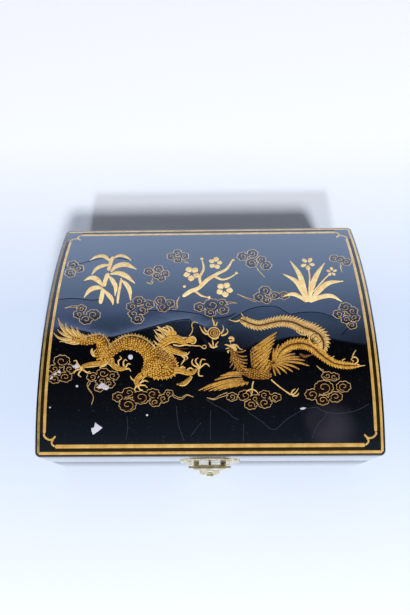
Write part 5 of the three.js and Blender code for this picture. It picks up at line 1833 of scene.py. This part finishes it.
# Mirror frame
# Four strips of gilt moulding pinned round the mirror: a bead, a hollow with a row of pearls, and a lip over
# the glass. Red ground shows where the gold is rubbed.
MOULDING = [(0.0, 0.0), (0.0, 3.5), (0.3, 4.3), (0.9, 4.9), (1.7, 5.1), (2.5, 4.9), (3.0, 4.3),
            (3.3, 3.6), (4.0, 3.2), (5.0, 3.05), (6.0, 3.2), (6.7, 3.6), (7.0, 4.4), (7.5, 5.1),
            (8.3, 5.45), (9.1, 5.2), (9.7, 4.6), (9.95, 3.8), (9.95, 3.06), (8.05, 3.06), (8.05, 0.0)]
PEARL_ACROSS, PEARL_HEIGHT, PEARL_RADIUS, PEARL_PITCH = 5.0 * MM, 3.5 * MM, 0.95 * MM, 2.5 * MM
PEARL_UNEVENNESS = 0.06
LEAF_PER_MM, LEAF_DEPTH = 0.24, 0.1 * MM


def gilding():
    """Gold leaf burnished on red ground, which shows in spots where the leaf is rubbed."""
    material, tree, shader = new_material("rubbed_gold_leaf_on_red_ground", Metallic=0.75)
    place = add_node(tree, "ShaderNodeTexCoord").outputs["Object"]
    rubbed = add_node(
        tree,
        "ShaderNodeTexNoise",
        {"Vector": place, "Scale": LEAF_PER_MM / MM, "Detail": 6.0, "Roughness": 0.7},
    )
    bare = add_node(
        tree, "ShaderNodeMapRange", {"Value": rubbed.outputs["Fac"], "From Min": 0.55, "From Max": 0.68}
    )
    colour = add_node(
        tree,
        "ShaderNodeMix",
        {0: bare.outputs["Result"], 6: linear("#D2A54C"), 7: linear("#7A3218")},
        data_type="RGBA",
    )
    tree.links.new(colour.outputs[2], shader.inputs["Base Color"])
    gloss = add_node(
        tree, "ShaderNodeMapRange", {"Value": rubbed.outputs["Fac"], "To Min": 0.25, "To Max": 0.6}
    )
    tree.links.new(gloss.outputs["Result"], shader.inputs["Roughness"])
    bump = add_node(
        tree, "ShaderNodeBump", {"Height": rubbed.outputs["Fac"], "Distance": LEAF_DEPTH, "Strength": 0.5}
    )
    tree.links.new(bump.outputs["Normal"], shader.inputs["Normal"])
    return material


gilt = gilding()
frame_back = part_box("mirror_frame_front")[1].z
pearl_shape = turned("pearl_shape", [(math.sin(a), -math.cos(a)) for a in np.linspace(0, math.pi, 6)], 10)
for vertex in pearl_shape.vertices:
    if math.hypot(vertex.co.x, vertex.co.y) < 1e-6:
        vertex.co.x = vertex.co.y = 0
for side, along, outward in (("front", 0, -1), ("back", 0, 1), ("left", 1, -1), ("right", 1, 1)):
    low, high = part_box(f"mirror_frame_{side}")
    across = 1 - along
    outer = high[across] if outward > 0 else low[across]
    strip = bmesh.new()
    ends = []
    for reach in (low[along], high[along]):
        ring = []
        for out, level in MOULDING:
            place = [0.0, 0.0, frame_back - level * MM]
            place[along], place[across] = reach, outer - outward * out * MM
            ring.append(strip.verts.new(place))
        ends.append(ring)
    for i in range(len(MOULDING)):
        j = (i + 1) % len(MOULDING)
        strip.faces.new((ends[0][i], ends[0][j], ends[1][j], ends[1][i]))
    strip.faces.new(ends[0])
    strip.faces.new(ends[1])
    moulding = finish_mesh(strip, f"gilt_moulding_{side}", 40)
    add_piece(moulding, gilt, "lid", [f"mirror_frame_{side}"])
    length = high[along] - low[along]
    count = int(length / PEARL_PITCH)
    spots = []
    for number in range(count):
        place = [0.0, 0.0, frame_back - PEARL_HEIGHT]
        place[along] = low[along] + (number + 0.5) * length / count
        place[across] = outer - outward * PEARL_ACROSS
        spots.append(place)
    name, turns, shares = f"gilt_pearls_{side}", [(0, 0, 0)] * count, [1.0] * count
    pearls = set_out(name, pearl_shape.copy(), spots, turns, shares, PEARL_RADIUS, PEARL_UNEVENNESS, gilt)
    add_piece(pearls, gilt, "lid")
